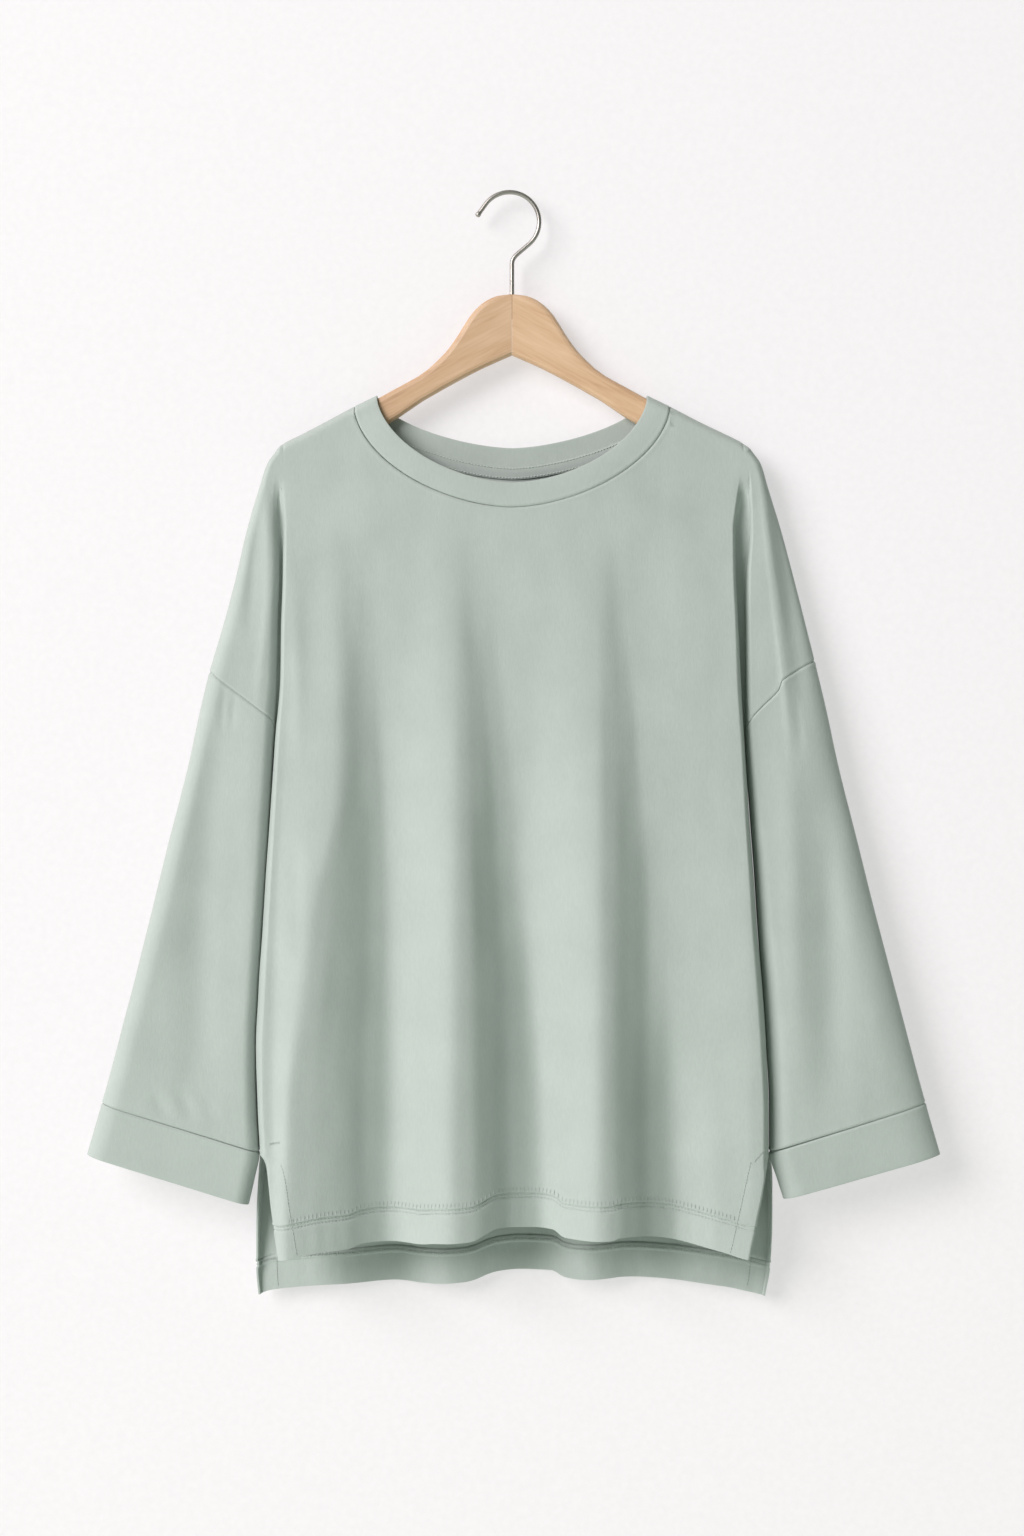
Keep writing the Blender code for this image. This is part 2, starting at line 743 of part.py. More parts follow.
def make_hanger_arm(side, material, bore):
    """One wooden arm: the outline with rounded edges, cut at the glued joint in the middle."""
    outline = hanger_outline()
    shape = bmesh.new()
    loop = [shape.verts.new(((x + STEM_X) * MM, -ARM_HALF_THICKNESS * MM, z * MM)) for x, z in outline]
    face = shape.faces.new(loop)
    made = bmesh.ops.extrude_face_region(shape, geom=[face])["geom"]
    bmesh.ops.translate(
        shape,
        verts=[item for item in made if isinstance(item, bmesh.types.BMVert)],
        vec=(0, 2 * ARM_HALF_THICKNESS * MM, 0),
    )
    rims = [edge for edge in shape.edges if abs(edge.verts[0].co.y - edge.verts[1].co.y) < 1e-6]
    bmesh.ops.bevel(shape, geom=rims, offset=ARM_EDGE_ROUND * MM, segments=3, profile=0.5, affect="EDGES")
    sign = SIGN[side]
    cut = bmesh.ops.bisect_plane(
        shape,
        geom=shape.verts[:] + shape.edges[:] + shape.faces[:],
        plane_co=((STEM_X + sign * HALF_GAP) * MM, 0, 0),
        plane_no=(-sign, 0, 0),
        clear_outer=True,
    )["geom_cut"]
    bmesh.ops.edgeloop_fill(shape, edges=[item for item in cut if isinstance(item, bmesh.types.BMEdge)])
    bmesh.ops.recalc_face_normals(shape, faces=shape.faces)
    mesh = bpy.data.meshes.new("hanger_arm_" + side)
    shape.to_mesh(mesh)
    shape.free()
    mesh.shade_smooth()
    mesh.set_sharp_from_angle(angle=math.radians(40))
    mesh.materials.append(material)
    arm = bpy.data.objects.new("hanger_arm_" + side, mesh)
    garment.objects.link(arm)
    hole = arm.modifiers.new("stem hole", "BOOLEAN")
    hole.object = bore
    hole.operation = "DIFFERENCE"
    return arm


def make_bore():
    """The cutter for the hole that the hook's stem sits in."""
    top, bottom = HANGER_TOP.height(0) + BORE_OVERRUN, STEM_END - BORE_CLEARANCE
    bpy.ops.mesh.primitive_cylinder_add(
        vertices=BORE_SIDES,
        radius=(WIRE_RADIUS + BORE_CLEARANCE) * MM,
        depth=(top - bottom) * MM,
        location=(STEM_X * MM, 0, (top + bottom) / 2 * MM),
    )
    bore = bpy.context.object
    bore.name = "stem_bore"
    for collection in bore.users_collection:
        collection.objects.unlink(bore)
    cutters.objects.link(bore)
    bore.hide_render = True
    bore.display_type = "WIRE"
    return bore


# Places along the wire before its round, at the flared tip, and after it, down into the wood
HOOK_FLARE = ((-29.3, -19.4), (-25.6, -14.2))
HOOK_NECK = ((12.6, -49.0), (7.2, -53.6), (4.6, -56.2), (2.9, -59.0), (STEM_X, -62.6), (STEM_X, -78))
HOOK_STEPS = 20


def make_hook(material):
    """The steel wire: round the rail, back under the crown and straight down into the wood."""
    centre = -(HOOK_RADIUS - WIRE_RADIUS)
    route = list(HOOK_FLARE)
    for share in steps(HOOK_STEPS):
        turn = math.radians(mix(HOOK_TIP_ANGLE, HOOK_BEND_ANGLE, share))
        route.append((HOOK_RADIUS * math.cos(turn), centre + HOOK_RADIUS * math.sin(turn)))
    route += list(HOOK_NECK) + [(STEM_X, STEM_END)]
    data = bpy.data.curves.new("hanger_hook", "CURVE")
    data.dimensions = "3D"
    data.bevel_depth = WIRE_RADIUS * MM
    data.bevel_resolution = 2
    data.use_fill_caps = True
    spline = data.splines.new("POLY")
    spline.points.add(len(route) - 1)
    for point, (x, z) in zip(spline.points, route):
        point.co = (x * MM, 0, z * MM, 1)
    data.materials.append(material)
    hook = bpy.data.objects.new("hanger_hook", data)
    garment.objects.link(hook)
    return hook


def new_collection(name):
    collection = bpy.data.collections.new(name)
    bpy.context.scene.collection.children.link(collection)
    return collection


for old in list(bpy.data.objects):
    bpy.data.objects.remove(old)
garment = new_collection("long_sleeved_t_shirt_on_hanger")
cutters = new_collection("cutters")

SAGE = (0.47, 0.555, 0.50)
jersey = principled("sage jersey", SAGE, 0.85)
rib = principled("sage neck band", (0.46, 0.545, 0.49), 0.85)
tape = principled("sage neck tape", (0.42, 0.50, 0.45), 0.85)
left_jersey = principled("sage left sleeve", (0.48, 0.565, 0.51), 0.85)
right_jersey = principled("sage right sleeve", (0.45, 0.535, 0.48), 0.85)
cuff_jersey = principled("sage cuffs", (0.46, 0.545, 0.49), 0.85)
beech = principled("pale beech", (0.73, 0.49, 0.32), 0.5)
steel = principled("steel wire", (0.55, 0.53, 0.5), 0.3, 1.0)

make_panel("front_panel", FRONT, jersey)
make_panel("back_panel", BACK, jersey)
make_sleeve("left", left_jersey)
make_sleeve("right", right_jersey)
make_cuff("left", cuff_jersey)
make_cuff("right", cuff_jersey)
make_neck_band(rib)
make_neck_tape(tape)
stem_bore = make_bore()
make_hanger_arm("left", beech, stem_bore)
make_hanger_arm("right", beech, stem_bore)
make_hook(steel)
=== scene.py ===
"""A long-sleeved jersey t-shirt on a wooden hanger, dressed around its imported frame.

Left and right are as seen from the front, which faces -Y. Sizes are in millimetres unless a name says
otherwise, measured from the middle of the garment and from the inside top of the hanger's hook.
"""

import bisect
import math

import bmesh
import bpy
import numpy as np
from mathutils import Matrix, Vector, noise
from mathutils.bvhtree import BVHTree
from mathutils.kdtree import KDTree


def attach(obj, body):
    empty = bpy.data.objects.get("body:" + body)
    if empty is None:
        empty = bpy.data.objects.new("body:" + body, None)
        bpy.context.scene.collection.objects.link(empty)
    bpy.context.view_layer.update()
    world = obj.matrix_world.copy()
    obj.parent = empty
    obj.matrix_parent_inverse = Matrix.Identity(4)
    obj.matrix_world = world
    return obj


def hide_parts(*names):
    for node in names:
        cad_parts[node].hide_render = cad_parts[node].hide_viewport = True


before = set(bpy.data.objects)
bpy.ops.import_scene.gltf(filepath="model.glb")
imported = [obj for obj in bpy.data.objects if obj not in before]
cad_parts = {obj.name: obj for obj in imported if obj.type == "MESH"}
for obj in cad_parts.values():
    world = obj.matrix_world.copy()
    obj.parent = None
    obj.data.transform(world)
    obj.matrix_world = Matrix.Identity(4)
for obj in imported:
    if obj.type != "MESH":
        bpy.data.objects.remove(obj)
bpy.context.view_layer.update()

MM = 0.001
SIGN = {"left": -1, "right": 1}
STEM_X = 2.2

# Cloth: its thickness, single, turned, doubled and at the tape, the gaps that it keeps to the plane of the
# side seams, in the crotch of the arm and at a seam, and how much wider a steep seam's gap has to be
WALL = 1.0
TURNED_WALL = 1.7
BAND_WALL = 1.9
TAPE_WALL = 0.8
HALF_GAP = 0.12
CROTCH_GAP = 1.7
SEAM_GAP = 0.12
STEEP_SEAM = 2.0

# Neck: half widths at the seam and at the band's top edge, and the heights where both cross the shoulder
NECK_SEAM_HALF = 142.0
NECK_EDGE_HALF = 121.5
NECK_SEAM_TOP = -191.0
NECK_EDGE_TOP = -181.0
# The band's round, and how far its front leans out at the shoulders, fading in from the seam there
BAND_CROWN, BAND_CROWN_POWER = 0.5, 0.7
BAND_LEAN_FROM = 0.5
BAND_LEAN = {"left": 5.2, "right": 0.0}
# The tape's half width, its reach to each side, its two rows of stitches and its round
TAPE_HALF_WIDTH = 5.5
TAPE_REACH = 112.0
TAPE_ROW = 4.1
TAPE_CROWN = 0.5
TAPE_STITCHES = {"pitch": 2.9, "length": 2.0, "radius": 0.46}

# Shoulder: how the cloth rounds over the hanger's arm, and the seam's last point, at the hanger's tip
ARM_ROUND = 8.5
TIP = {"left": (212.0, -230.5), "right": (215.0, -230.0)}
TIP_TURN = math.radians(45)
# Where the body's edge and the arm's inner edge start, how far down the cloth takes to reach its full depth,
# and the last place on the shoulder seam
BODY_EDGE_TOP = -232.0
ARM_INNER_TOP = -234.0
BILLOW_HEIGHT = 110.0
SHOULDER_END = 215.0

# The valley between body and arm: where its round edges start and how soon they are full
VALLEY_TOP = -256.0
VALLEY_FADE = 36.0
# Above it body and arm are levelled out, between two distances from the middle and clear of the outline, of
# the shoulder seam and of its round
LEVEL_START = {"left": -250.0, "right": -247.0}
LEVEL_START_FADE = 26.0
LEVEL_X = (191.0, 217.0)
LEVEL_MARGIN = 6.0
LEVEL_DEPTH, LEVEL_DEPTH_FADE = 1.5, 4.0
LEVEL_TOP, LEVEL_TOP_FADE = BODY_EDGE_TOP + 2, 8.0

# Heights of the seams, the slits and the cuffs
UNDERARM = -491.0
SLIT_TOP = -862.0
ARMHOLE_TOP = -429.5
CUFF_SEAM_OUTER = -817.0
CUFF_SEAM_INNER = -861.0
CUFF_END_OUTER = -863.5
CUFF_END_INNER = {"left": -908.5, "right": -903.5}
CUFF_END_DEPTH = 14.0

# Which places on an edge belong to the neck seam, the armhole seam and the cuff seam, which roll inward
EDGE_MARGIN = 1.0
NECK_NEAR = 5.0
ARMHOLE_FROM, ARMHOLE_SHIFT, ARMHOLE_NEAR = 213.0, 3.0, 6.0
CUFF_SEAM_X, CUFF_SEAM_WIDTH, CUFF_NEAR = 374.0, 143.0, 12.0

# Heights at which the folds' places and sizes are given
FOLD_HEIGHTS = (-300, -365, -455, -545, -635, -725, -815, -935)

# Relief: how soon a crease fades at its ends, and no creases where the skin is less deep than this or
# this close to the shoulder seam
CREASE_ENDS = 0.8
RELIEF_DEPTH = 7.0
RELIEF_DROP, RELIEF_DROP_FADE = 12.0, 45.0
# The cloth's own unevenness: height, length across and down, and where in the noise it is read
RIPPLES = ((0.9, 34, 190, 0, 3.1), (0.3, 17, 46, 40, 5.3))
# Beside a seam: height, distance and width of the ridge, then depth and width of the dip
SEAM_RIDGE = (0.22, 2.4, 1.5)
SEAM_DIP = (0.75, 0.9)
# The rims of the walled cloth, and the angle from which an edge is drawn sharp
RIM_SHARE = 0.3
RIM_ANGLE = math.radians(62)
SHARP_ANGLE = math.radians(70)

# Sewing: the hem's two rows above its edge, the slit's row in from its edge, and their ends
HEM_ROWS_UP = (26.6, 29.6)
FACING_ROW_IN = 17.6
HEM_SIDE, HEM_END = 205.0, 2.5
FACING_SIDE, FACING_TOP, FACING_FOOT = 200.0, 5.0, 1.5
# A stitch: its pitch, length and radius, its shares of thickness along it, its corners and its height
STITCH_PITCH = 3.0
STITCH_LENGTH = 2.3
STITCH_RADIUS = 0.4
STITCH_SHAPE = ((0.0, 0.35), (0.2, 0.9), (0.5, 1.0), (0.8, 0.9), (1.0, 0.35))
STITCH_CORNERS = (30, 90, 150, 270)
STITCH_FOOT, STITCH_RISE = 0.15, 0.55
FIRST_STITCH = 0.5
# The sewn cloth: how far it is turned, and where the body ends beside it
TURNED_HEM = 31.5
TURNED_SLIT = 19.5
BODY_LIMIT = 235.0
# Waves of the hem's rows, of the slit's row and of the hem: pitch, sway and reach of the sway
HEM_PUCKER = (1.45, 2.2, 9.0)
SLIT_PUCKER = (1.5, 1.8, 8.0)
HEM_WAVE = (2.6, 1.7, 13)
PUCKER_EVEN, PUCKER_SWING = 0.6, 0.4
# Rises and dips beside the rows: height, place above the hem or the row, and width
HEM_ROW_WIDTH = 0.85
TURNED_EDGE = (0.6, 1.9, 1.1)
PUCKERS = (0.4, 32, 3.5)
WAVES = (0.22, 13, 11)
SLIT_ROW = (0.6, 1.1)
# How much higher the turned cloth lies, over which step, and how far below the slit's top its row is full
TURNED_RISE, TURNED_RISE_REACH = 0.18, 2.0
TACK_REACH = 6.0
# The thread from row to row on the inside of the hem, and the loops that show as ticks beside the rows
COVER_STEP = 1.6
COVER_STITCHES = {"pitch": 3.4, "length": 2.7, "radius": 0.36}
LOOP_STEP = 3.4
LOOP_LEAN = 0.7
LOOP_RADIUS = 0.34
OUTER_LOOPS = (30.4, 36.4)
INNER_LOOPS = (24.6, 30.8)
TACKS = {"left": ((216, -850), (205, -847)), "right": ((226, -855), (216, -866))}
TACK_LANES = (0, 0.5, 1, 1.5)
TACK_STITCHES = {"pitch": 1.3, "length": 1.1, "radius": 0.2}

# Hook: the wire, its round over the rail, its tip with the wire's share of thickness there, and its neck
WIRE_RADIUS = 2.05
HOOK_RADIUS = 26.7
HOOK_TIP_ANGLE = 142
HOOK_BEND_ANGLE = -48
HOOK_STEPS = 72
HOOK_TIP = (-29.6, -20.0)
HOOK_TIP_SHAPE = (
    (0, 0.15), (0.25, 0.62), (0.7, 0.95), (1.4, 1.18), (2.3, 1.24), (3.4, 1.14), (4.6, 1.02), (6, 1.0),
)
HOOK_NECK_TOP = -44.5
HOOK_NECK = ((12.6, -49.0), (7.2, -53.6), (4.6, -56.2), (2.9, -59.0), (2.2, -62.6), (2.2, -78))
HOOK_NECK_STEPS = 24
STEM_END = -112.0

# The glue between the hanger's arms, inside the outline of their joint, and what it keeps clear of the wire
GLUE_TOP = -90.1
GLUE_FOOT = -144.7
GLUE_HALF = 5.38
GLUE_ROUND = 4.8
GLUE_HOLE, GLUE_HOLE_TOP, GLUE_HOLE_FOOT, GLUE_HOLE_SIDE = 2.35, 0.6, 1.5, 0.2
GLUE_HALF_THICKNESS = 0.112

# Mesh fineness: angles in degrees, steps and spaces between rows, and how far even rows stay from close ones
SEAM_ANGLES = (0, 4, 10, 17, 25, 33, 42, 51, 60, 70, 80, 90)
EDGE_ANGLES = (0, 3, 8, 14, 21, 28, 36, 44, 52, 59, 66, 71, 74.5, 77, 80, 85, 90)
ARM_TURNS = (0, 11, 22, 34, 45, 56, 68, 79, 90)
NECK_STEPS = 42
SHOULDER_STEPS = 12
VALLEY_STEPS = 6
FACE_STEPS = 20
TAPE_STEPS = 8
FACING_STEPS = 30
HALVINGS = 40
ROW_SPACING = 3.7
CLOSE_ROWS = (0, 0.5, 1.1, 1.9, 2.9, 4.2)
HEM_CLOSE_ROWS = (
    40, 36.5, 34, 32, 31, 30.2, 29.6, 29, 28.1, 27.2, 26.6, 26,
    25.2, 24, 22, 19, 16, 12.5, 9, 6, 3.5, 1.8, 0.7, 0,
)
BAND_ROWS = 12
CUFF_ROWS = 14
ROW_CLEAR = {"sleeve": 1.3, "cuff": 1.4, "band": 1.15}
MERGE_REACH = 0.01
RAY_START = 200.0


class Curve:
    """A smooth curve through values at rising places, with no overshoot between them."""

    def __init__(self, places, values):
        if places[0] > places[-1]:
            places, values = places[::-1], values[::-1]
        self.places, self.values = places, values
        steps = [b - a for a, b in zip(places, places[1:])]
        rises = [(b - a) / step for a, b, step in zip(values, values[1:], steps)]
        self.slopes = [rises[0]]
        for before, after in zip(rises, rises[1:]):
            self.slopes.append(2 * before * after / (before + after) if before * after > 0 else 0.0)
        self.slopes.append(rises[-1])

    def __call__(self, place):
        place = min(max(place, self.places[0]), self.places[-1])
        i = min(bisect.bisect_right(self.places, place), len(self.places) - 1) - 1
        step = self.places[i + 1] - self.places[i]
        t = (place - self.places[i]) / step
        ease = t * t * (3 - 2 * t)
        leave = self.slopes[i] * t * (1 - t) ** 2
        arrive = self.slopes[i + 1] * t * t * (t - 1)
        return self.values[i] * (1 - ease) + self.values[i + 1] * ease + step * (leave + arrive)


class Table:
    """Named columns of sizes. Each is read as a curve over the first column."""

    def __init__(self, names, *rows):
        places = [row[0] for row in rows]
        for index, name in enumerate(names.split()[1:], 1):
            setattr(self, name, Curve(places, [row[index] for row in rows]))


# Height of the shoulder seam
SHOULDER = Table(
    "x left right",
    (0, -120, -120),
    (121.5, -181, -181),
    (142, -191, -191),
    (170, -206, -205.5),
    (192, -217.5, -216),
    (205, -224, -222.5),
    (212, -230.5, -227.5),
    (215, -234.5, -230),
)
# The garment's outline, down the sleeves
OUTLINE = Table(
    "z left right",
    (-230, 211.5, 215),
    (-243, 220.5, 224),
    (-263, 227, 230),
    (-302, 238.5, 242),
    (-347, 249, 254),
    (-392, 261, 265.5),
    (-429, 272, 275),
    (-466, 281, 283.5),
    (-509, 290, 292.5),
    (-581, 307, 310.5),
    (-653, 324, 328.5),
    (-725, 343, 347.5),
    (-797, 363, 366.5),
    (-833, 373.5, 376.5),
    (-864, 382.5, 385.5),
)
# The body's edge and the arm's inner edge beside it, and how round the body's edge is
BODY = Table(
    "z left right arm_left arm_right round",
    (-232, 203.5, 206, 205, 207.5, 3),
    (-254, 208, 207, 210, 212.5, 4),
    (-304, 205, 200.5, 209.5, 213.5, 4),
    (-343, 205.5, 201, 209, 210.6, 4.5),
    (-381, 207, 203, 210, 209.7, 5),
    (-440, 208.5, 205.5, 211, 209.6, 5.5),
    (-491, 212.5, 209, 213.3, 209.8, 6),
    (-554, 216.5, 213, 217, 213.5, 6.5),
    (-608, 220, 217, 220.5, 217.5, 7),
    (-662, 223.5, 220.5, 224, 221, 7.5),
    (-716, 227, 225, 227.5, 225.5, 8),
    (-770, 229.5, 228.5, 230, 229, 8),
    (-824, 228.5, 231, 229.1, 231.5, 8),
    (-862, 226.5, 231, 227.3, 231.5, 8),
    (-885, 230.7, 237.5, 231.6, 238.3, 2.5),
    (-909, 235, 244, 237, 246, 2),
)
# How far in front of the side seams' plane the valley between body and arm lies
VALLEY = Table(
    "z left right",
    (-232, 8.5, 8.5),
    (-254, 8.5, 8.2),
    (-270, 8, 6.5),
    (-304, 5.5, 2.8),
    (-343, 3.2, 1.8),
    (-381, 2.4, 1.7),
    (-440, 2, 1.8),
    (-491, CROTCH_GAP, CROTCH_GAP),
    (-506, HALF_GAP, HALF_GAP),
)
# The arm above and below the armhole seam: the slope of its rows, how far its edges round, and its depth
UPPER_ARM = Table(
    "down slope out_left out_right in_left in_right depth",
    (0, 0.48, 4.5, 6, 2, 0.5, 8.5),
    (0.1, 0.61, 5, 6, 4, 1.8, 9.5),
    (0.3, 0.84, 7, 13, 6.5, 3, 11.5),
    (0.6, 0.78, 10, 22, 7, 4.5, 13.5),
    (1, 0.75, 13, 28, 9, 7, 15.5),
)
LOWER_ARM = Table(
    "down slope out_left out_right in_left in_right depth",
    (0, 0.75, 13, 28, 9, 7, 15.5),
    (0.25, 0.62, 14, 28, 10, 10, 16.5),
    (0.5, 0.5, 15, 29, 10, 14, 17.5),
    (0.75, 0.39, 16, 31, 11, 18, 17),
    (1, 0.3077, 18, 34, 13, 20, 16),
)


def smooth(value):
    """A soft step from 0 to 1."""
    t = min(max(value, 0.0), 1.0)
    return t * t * (3 - 2 * t)


def mix(start, end, share):
    return start + (end - start) * share


def bell(away, width):
    """A soft hump of height 1."""
    return math.exp(-((away / width) ** 2))


def uneven(where, pitch, sway, reach):
    """A wave from -1 to 1 whose pitch sways."""
    return math.sin(where / pitch + sway * math.sin(where / reach))


def steps(count):
    return [i / count for i in range(count + 1)]


def side_of(x):
    return "left" if x < 0 else "right"


def add(name, data):
    """A new object in the scene, at the origin."""
    thing = bpy.data.objects.new(name, data)
    bpy.context.scene.collection.objects.link(thing)
    return thing


class Panel:
    """The front or the back: its depths, folds, neck and hem."""

    def __init__(
        self, facing, neck_drop, neck_power, edge_drop, edge_power, depths, folds, fold_gain, hem, slit
    ):
        self.facing = facing
        self.fold_gain = fold_gain
        self.neck_drop, self.neck_power = neck_drop, neck_power
        self.edge_drop, self.edge_power = edge_drop, edge_power
        self.depths, self.folds, self.hem, self.slit = depths, folds, hem, slit
        self.across = {}

    def fold(self, x, z):
        """How far the cloth stands towards the viewer at a place, from the folds on each side of it."""
        key = round(z, 1)
        if key not in self.across:
            places = [place_at(z) for place_at, _ in self.folds]
            self.across[key] = Curve(places, [stand_at(z) for _, stand_at in self.folds])
        return self.fold_gain * self.across[key](x)

    def depth(self, side, x, z):
        """Distance from the side seams' plane to the cloth, over the body."""
        drop = SHOULDER_OF[side](x) - z
        if drop < ARM_ROUND:
            return ARM_ROUND * math.sqrt(max(1 - (1 - drop / ARM_ROUND) ** 2, 0))
        flat = self.depths.depth(z) - self.facing * self.fold(SIGN[side] * x, z)
        return mix(ARM_ROUND, flat, smooth((drop - ARM_ROUND) / BILLOW_HEIGHT))

    def neck_seam(self, angle):
        """Distance from the middle and height of the neck seam, by an angle that is 0 at the shoulder."""
        share = math.cos(angle)
        fall = (1 - share**self.neck_power) ** (1 / self.neck_power)
        return NECK_SEAM_HALF * share, NECK_SEAM_TOP - self.neck_drop * fall

    def neck_edge(self, angle):
        share = math.cos(angle)
        fall = (1 - share**self.edge_power) ** (1 / self.edge_power)
        return NECK_EDGE_HALF * share, NECK_EDGE_TOP - self.edge_drop * fall

    def neck_angles(self):
        """Angles that step evenly over the hanger's arm and then round to the middle."""
        angles = [self.angle_over_arm(math.radians(turn)) for turn in ARM_TURNS]
        last = angles[-1]
        return angles + [mix(last, math.pi / 2, share) for share in steps(NECK_STEPS)[1:]]

    def angle_over_arm(self, turn):
        """The neck angle at which the seam has turned this far over the hanger's arm."""
        wanted = ARM_ROUND * (1 - math.cos(turn))
        low, high = 0.0, math.pi / 2
        for _ in range(HALVINGS):
            middle = (low + high) / 2
            x, z = self.neck_seam(middle)
            low, high = (middle, high) if SHOULDER.left(x) - z < wanted else (low, middle)
        return low

    def edge(self, side, z):
        """Distance of the body's edge from the middle, and how far forward the edge lies."""
        if z < SLIT_TOP:
            x = getattr(self.slit, side)(z)
            return x, mix(HALF_GAP, self.depth(side, x, z), self.slit.open(z))
        return getattr(BODY, side)(z), getattr(VALLEY, side)(z)


SHOULDER_OF = {"left": SHOULDER.left, "right": SHOULDER.right}


def fold_lines(*lines):
    """Ridges and hollows down the body: their places across and how far they stand out, by height."""
    return [(Curve(FOLD_HEIGHTS, places), Curve(FOLD_HEIGHTS, stands)) for places, stands in lines]


FLAT = (0,) * len(FOLD_HEIGHTS)
FRONT_FOLDS = fold_lines(
    ((-205, -205, -207, -208, -210, -211, -212, -212), FLAT),
    ((-165, -160, -157, -158, -176, -186, -198, -200), (0, 1.5, 3.5, 6, 9, 10.5, 11, 11)),
    ((-156, -153, -150, -152, -164, -172, -180, -180), (0, 1.2, 2.6, 5, 6.5, 8.5, 8.5, 8.5)),
    ((-148, -146, -143, -146, -150, -156, -160, -160), (0, 0.4, 0.5, 2.5, 1.5, 2.5, 3, 3)),
    ((-140, -138, -136, -134, -137, -140, -144, -144), (0, -0.4, -2, -3, -4.5, -4.5, -3, -3)),
    ((-132, -130, -128, -123, -124, -126, -128, -128), (0, -1.2, -4.2, -7, -10.5, -11.5, -11, -11)),
    ((-124, -122, -118, -113, -110, -109, -107, -107), (0, -1.5, -5.5, -9.5, -14, -16.5, -17.5, -17.5)),
    ((-60, -55, -51, -51, -51, -51, -51, -51), (0, 2.5, 5.5, 8, 10.5, 12, 12.5, 12.5)),
    ((-50, -47, -42, -40, -38, -38, -37, -35), (0, 2, 4.2, 6, 8, 9.5, 10, 10)),
    ((-40, -38, -30, -28, -24, -20, -20, -17), (0, 0.3, 0.5, 1.3, 0, 0, 0.5, 0.5)),
    ((-28, -28, -22, -13, -8, -2, -2, 1), (0, -1, -2, -6, -9, -11.5, -13, -13)),
    ((-15, -15, -6, 4, 10, 17, 22, 25), (0, -1.8, -4.5, -9.5, -13.2, -18, -20.5, -20.5)),
    ((70, 76, 76.5, 76.5, 76.5, 77, 77.5, 79), (0, 2, 4.5, 8, 10.5, 12, 12.5, 12.5)),
    ((84, 84, 88, 88, 88, 88, 88, 90), (0, 1.2, 2.5, 5.5, 8, 10, 10.5, 11)),
    ((92, 92, 100, 105, 106, 106, 106, 108), (0, -0.5, -0.8, -1, 0.5, 1.2, 1, 1.8)),
    ((100, 100, 110, 117, 124, 124, 124, 126), (0, -1.5, -2.8, -4.5, -7, -7.5, -11.5, -11)),
    ((112, 110, 125, 132, 138, 142, 145, 148), (0, -1.8, -3.2, -5.5, -8.5, -10.5, -18, -18.5)),
    ((170, 172, 175, 178, 180, 183, 185, 185), (0, 0, -2, -3.7, -5.3, -6.2, -9.5, -9.5)),
    ((205, 205, 207, 208, 210, 211, 212, 212), (0, 0, -1.2, -2, -2.6, -3.4, -5.5, -6)),
)
BACK_FOLDS = fold_lines(
    ((-205, -205, -207, -209, -211, -213, -214, -215), FLAT),
    ((-160, -162, -160, -164, -166, -166, -165, -165), (0, 0.5, 1, 1.5, 2, 2, 2, 2)),
    ((-118, -117, -114, -112, -108, -106, -104, -104), (0, -1, -2, -3.5, -5, -6, -6, -6)),
    ((-66, -66, -64, -63, -62, -60, -60, -60), (0, 1, 2, 3.5, 5, 6, 6, 6)),
    ((-6, -12, -6, 0, 6, 10, 12, 12), (0, -1, -2.5, -4.5, -6.5, -8, -8, -8)),
    ((62, 64, 66, 67, 68, 69, 70, 70), (0, 1, 2, 4, 6, 7, 7, 7)),
    ((104, 100, 104, 108, 111, 114, 116, 116), (0, -1, -2, -3.5, -4.5, -5, -5, -5)),
    ((160, 160, 162, 164, 166, 168, 170, 170), (0, 0.5, 1, 1.5, 2, 3, 3, 3)),
    ((205, 205, 207, 209, 211, 213, 214, 215), FLAT),
)
FRONT = Panel(
    facing=-1,
    neck_drop=92,
    neck_power=1.77,
    edge_drop=79.5,
    edge_power=1.78,
    depths=Table(
        "z depth",
        (-191, 9), (-240, 13), (-282, 16), (-350, 21), (-430, 25), (-520, 28), (-700, 31), (-960, 33),
    ),
    folds=FRONT_FOLDS,
    fold_gain=1.22,
    hem=Table(
        "x height",
        (-212, -953), (-206, -952.2), (-167, -945.3), (-145, -943.9), (-135, -940.6), (-118, -939.8),
        (-103, -940), (-85, -940.4), (-67, -937.7), (-35, -935.1), (-25, -930.6), (-13, -925.9),
        (5, -926.9), (37, -929.6), (46.5, -935.2), (64, -934.9), (88, -934.4), (95.6, -932.2),
        (108, -932.4), (130, -935.2), (165, -942.9), (189, -948.6), (208, -954.2), (213, -955),
    ),
    slit=Table(
        "z left right open",
        (-862, 226.5, 231, 0),
        (-867, 222.5, 230.3, 0.12),
        (-874, 219.6, 228.7, 0.28),
        (-907, 214.5, 221.5, 0.75),
        (-933, 210.2, 215.7, 0.92),
        (-955, 206.5, 210.8, 0.95),
    ),
)
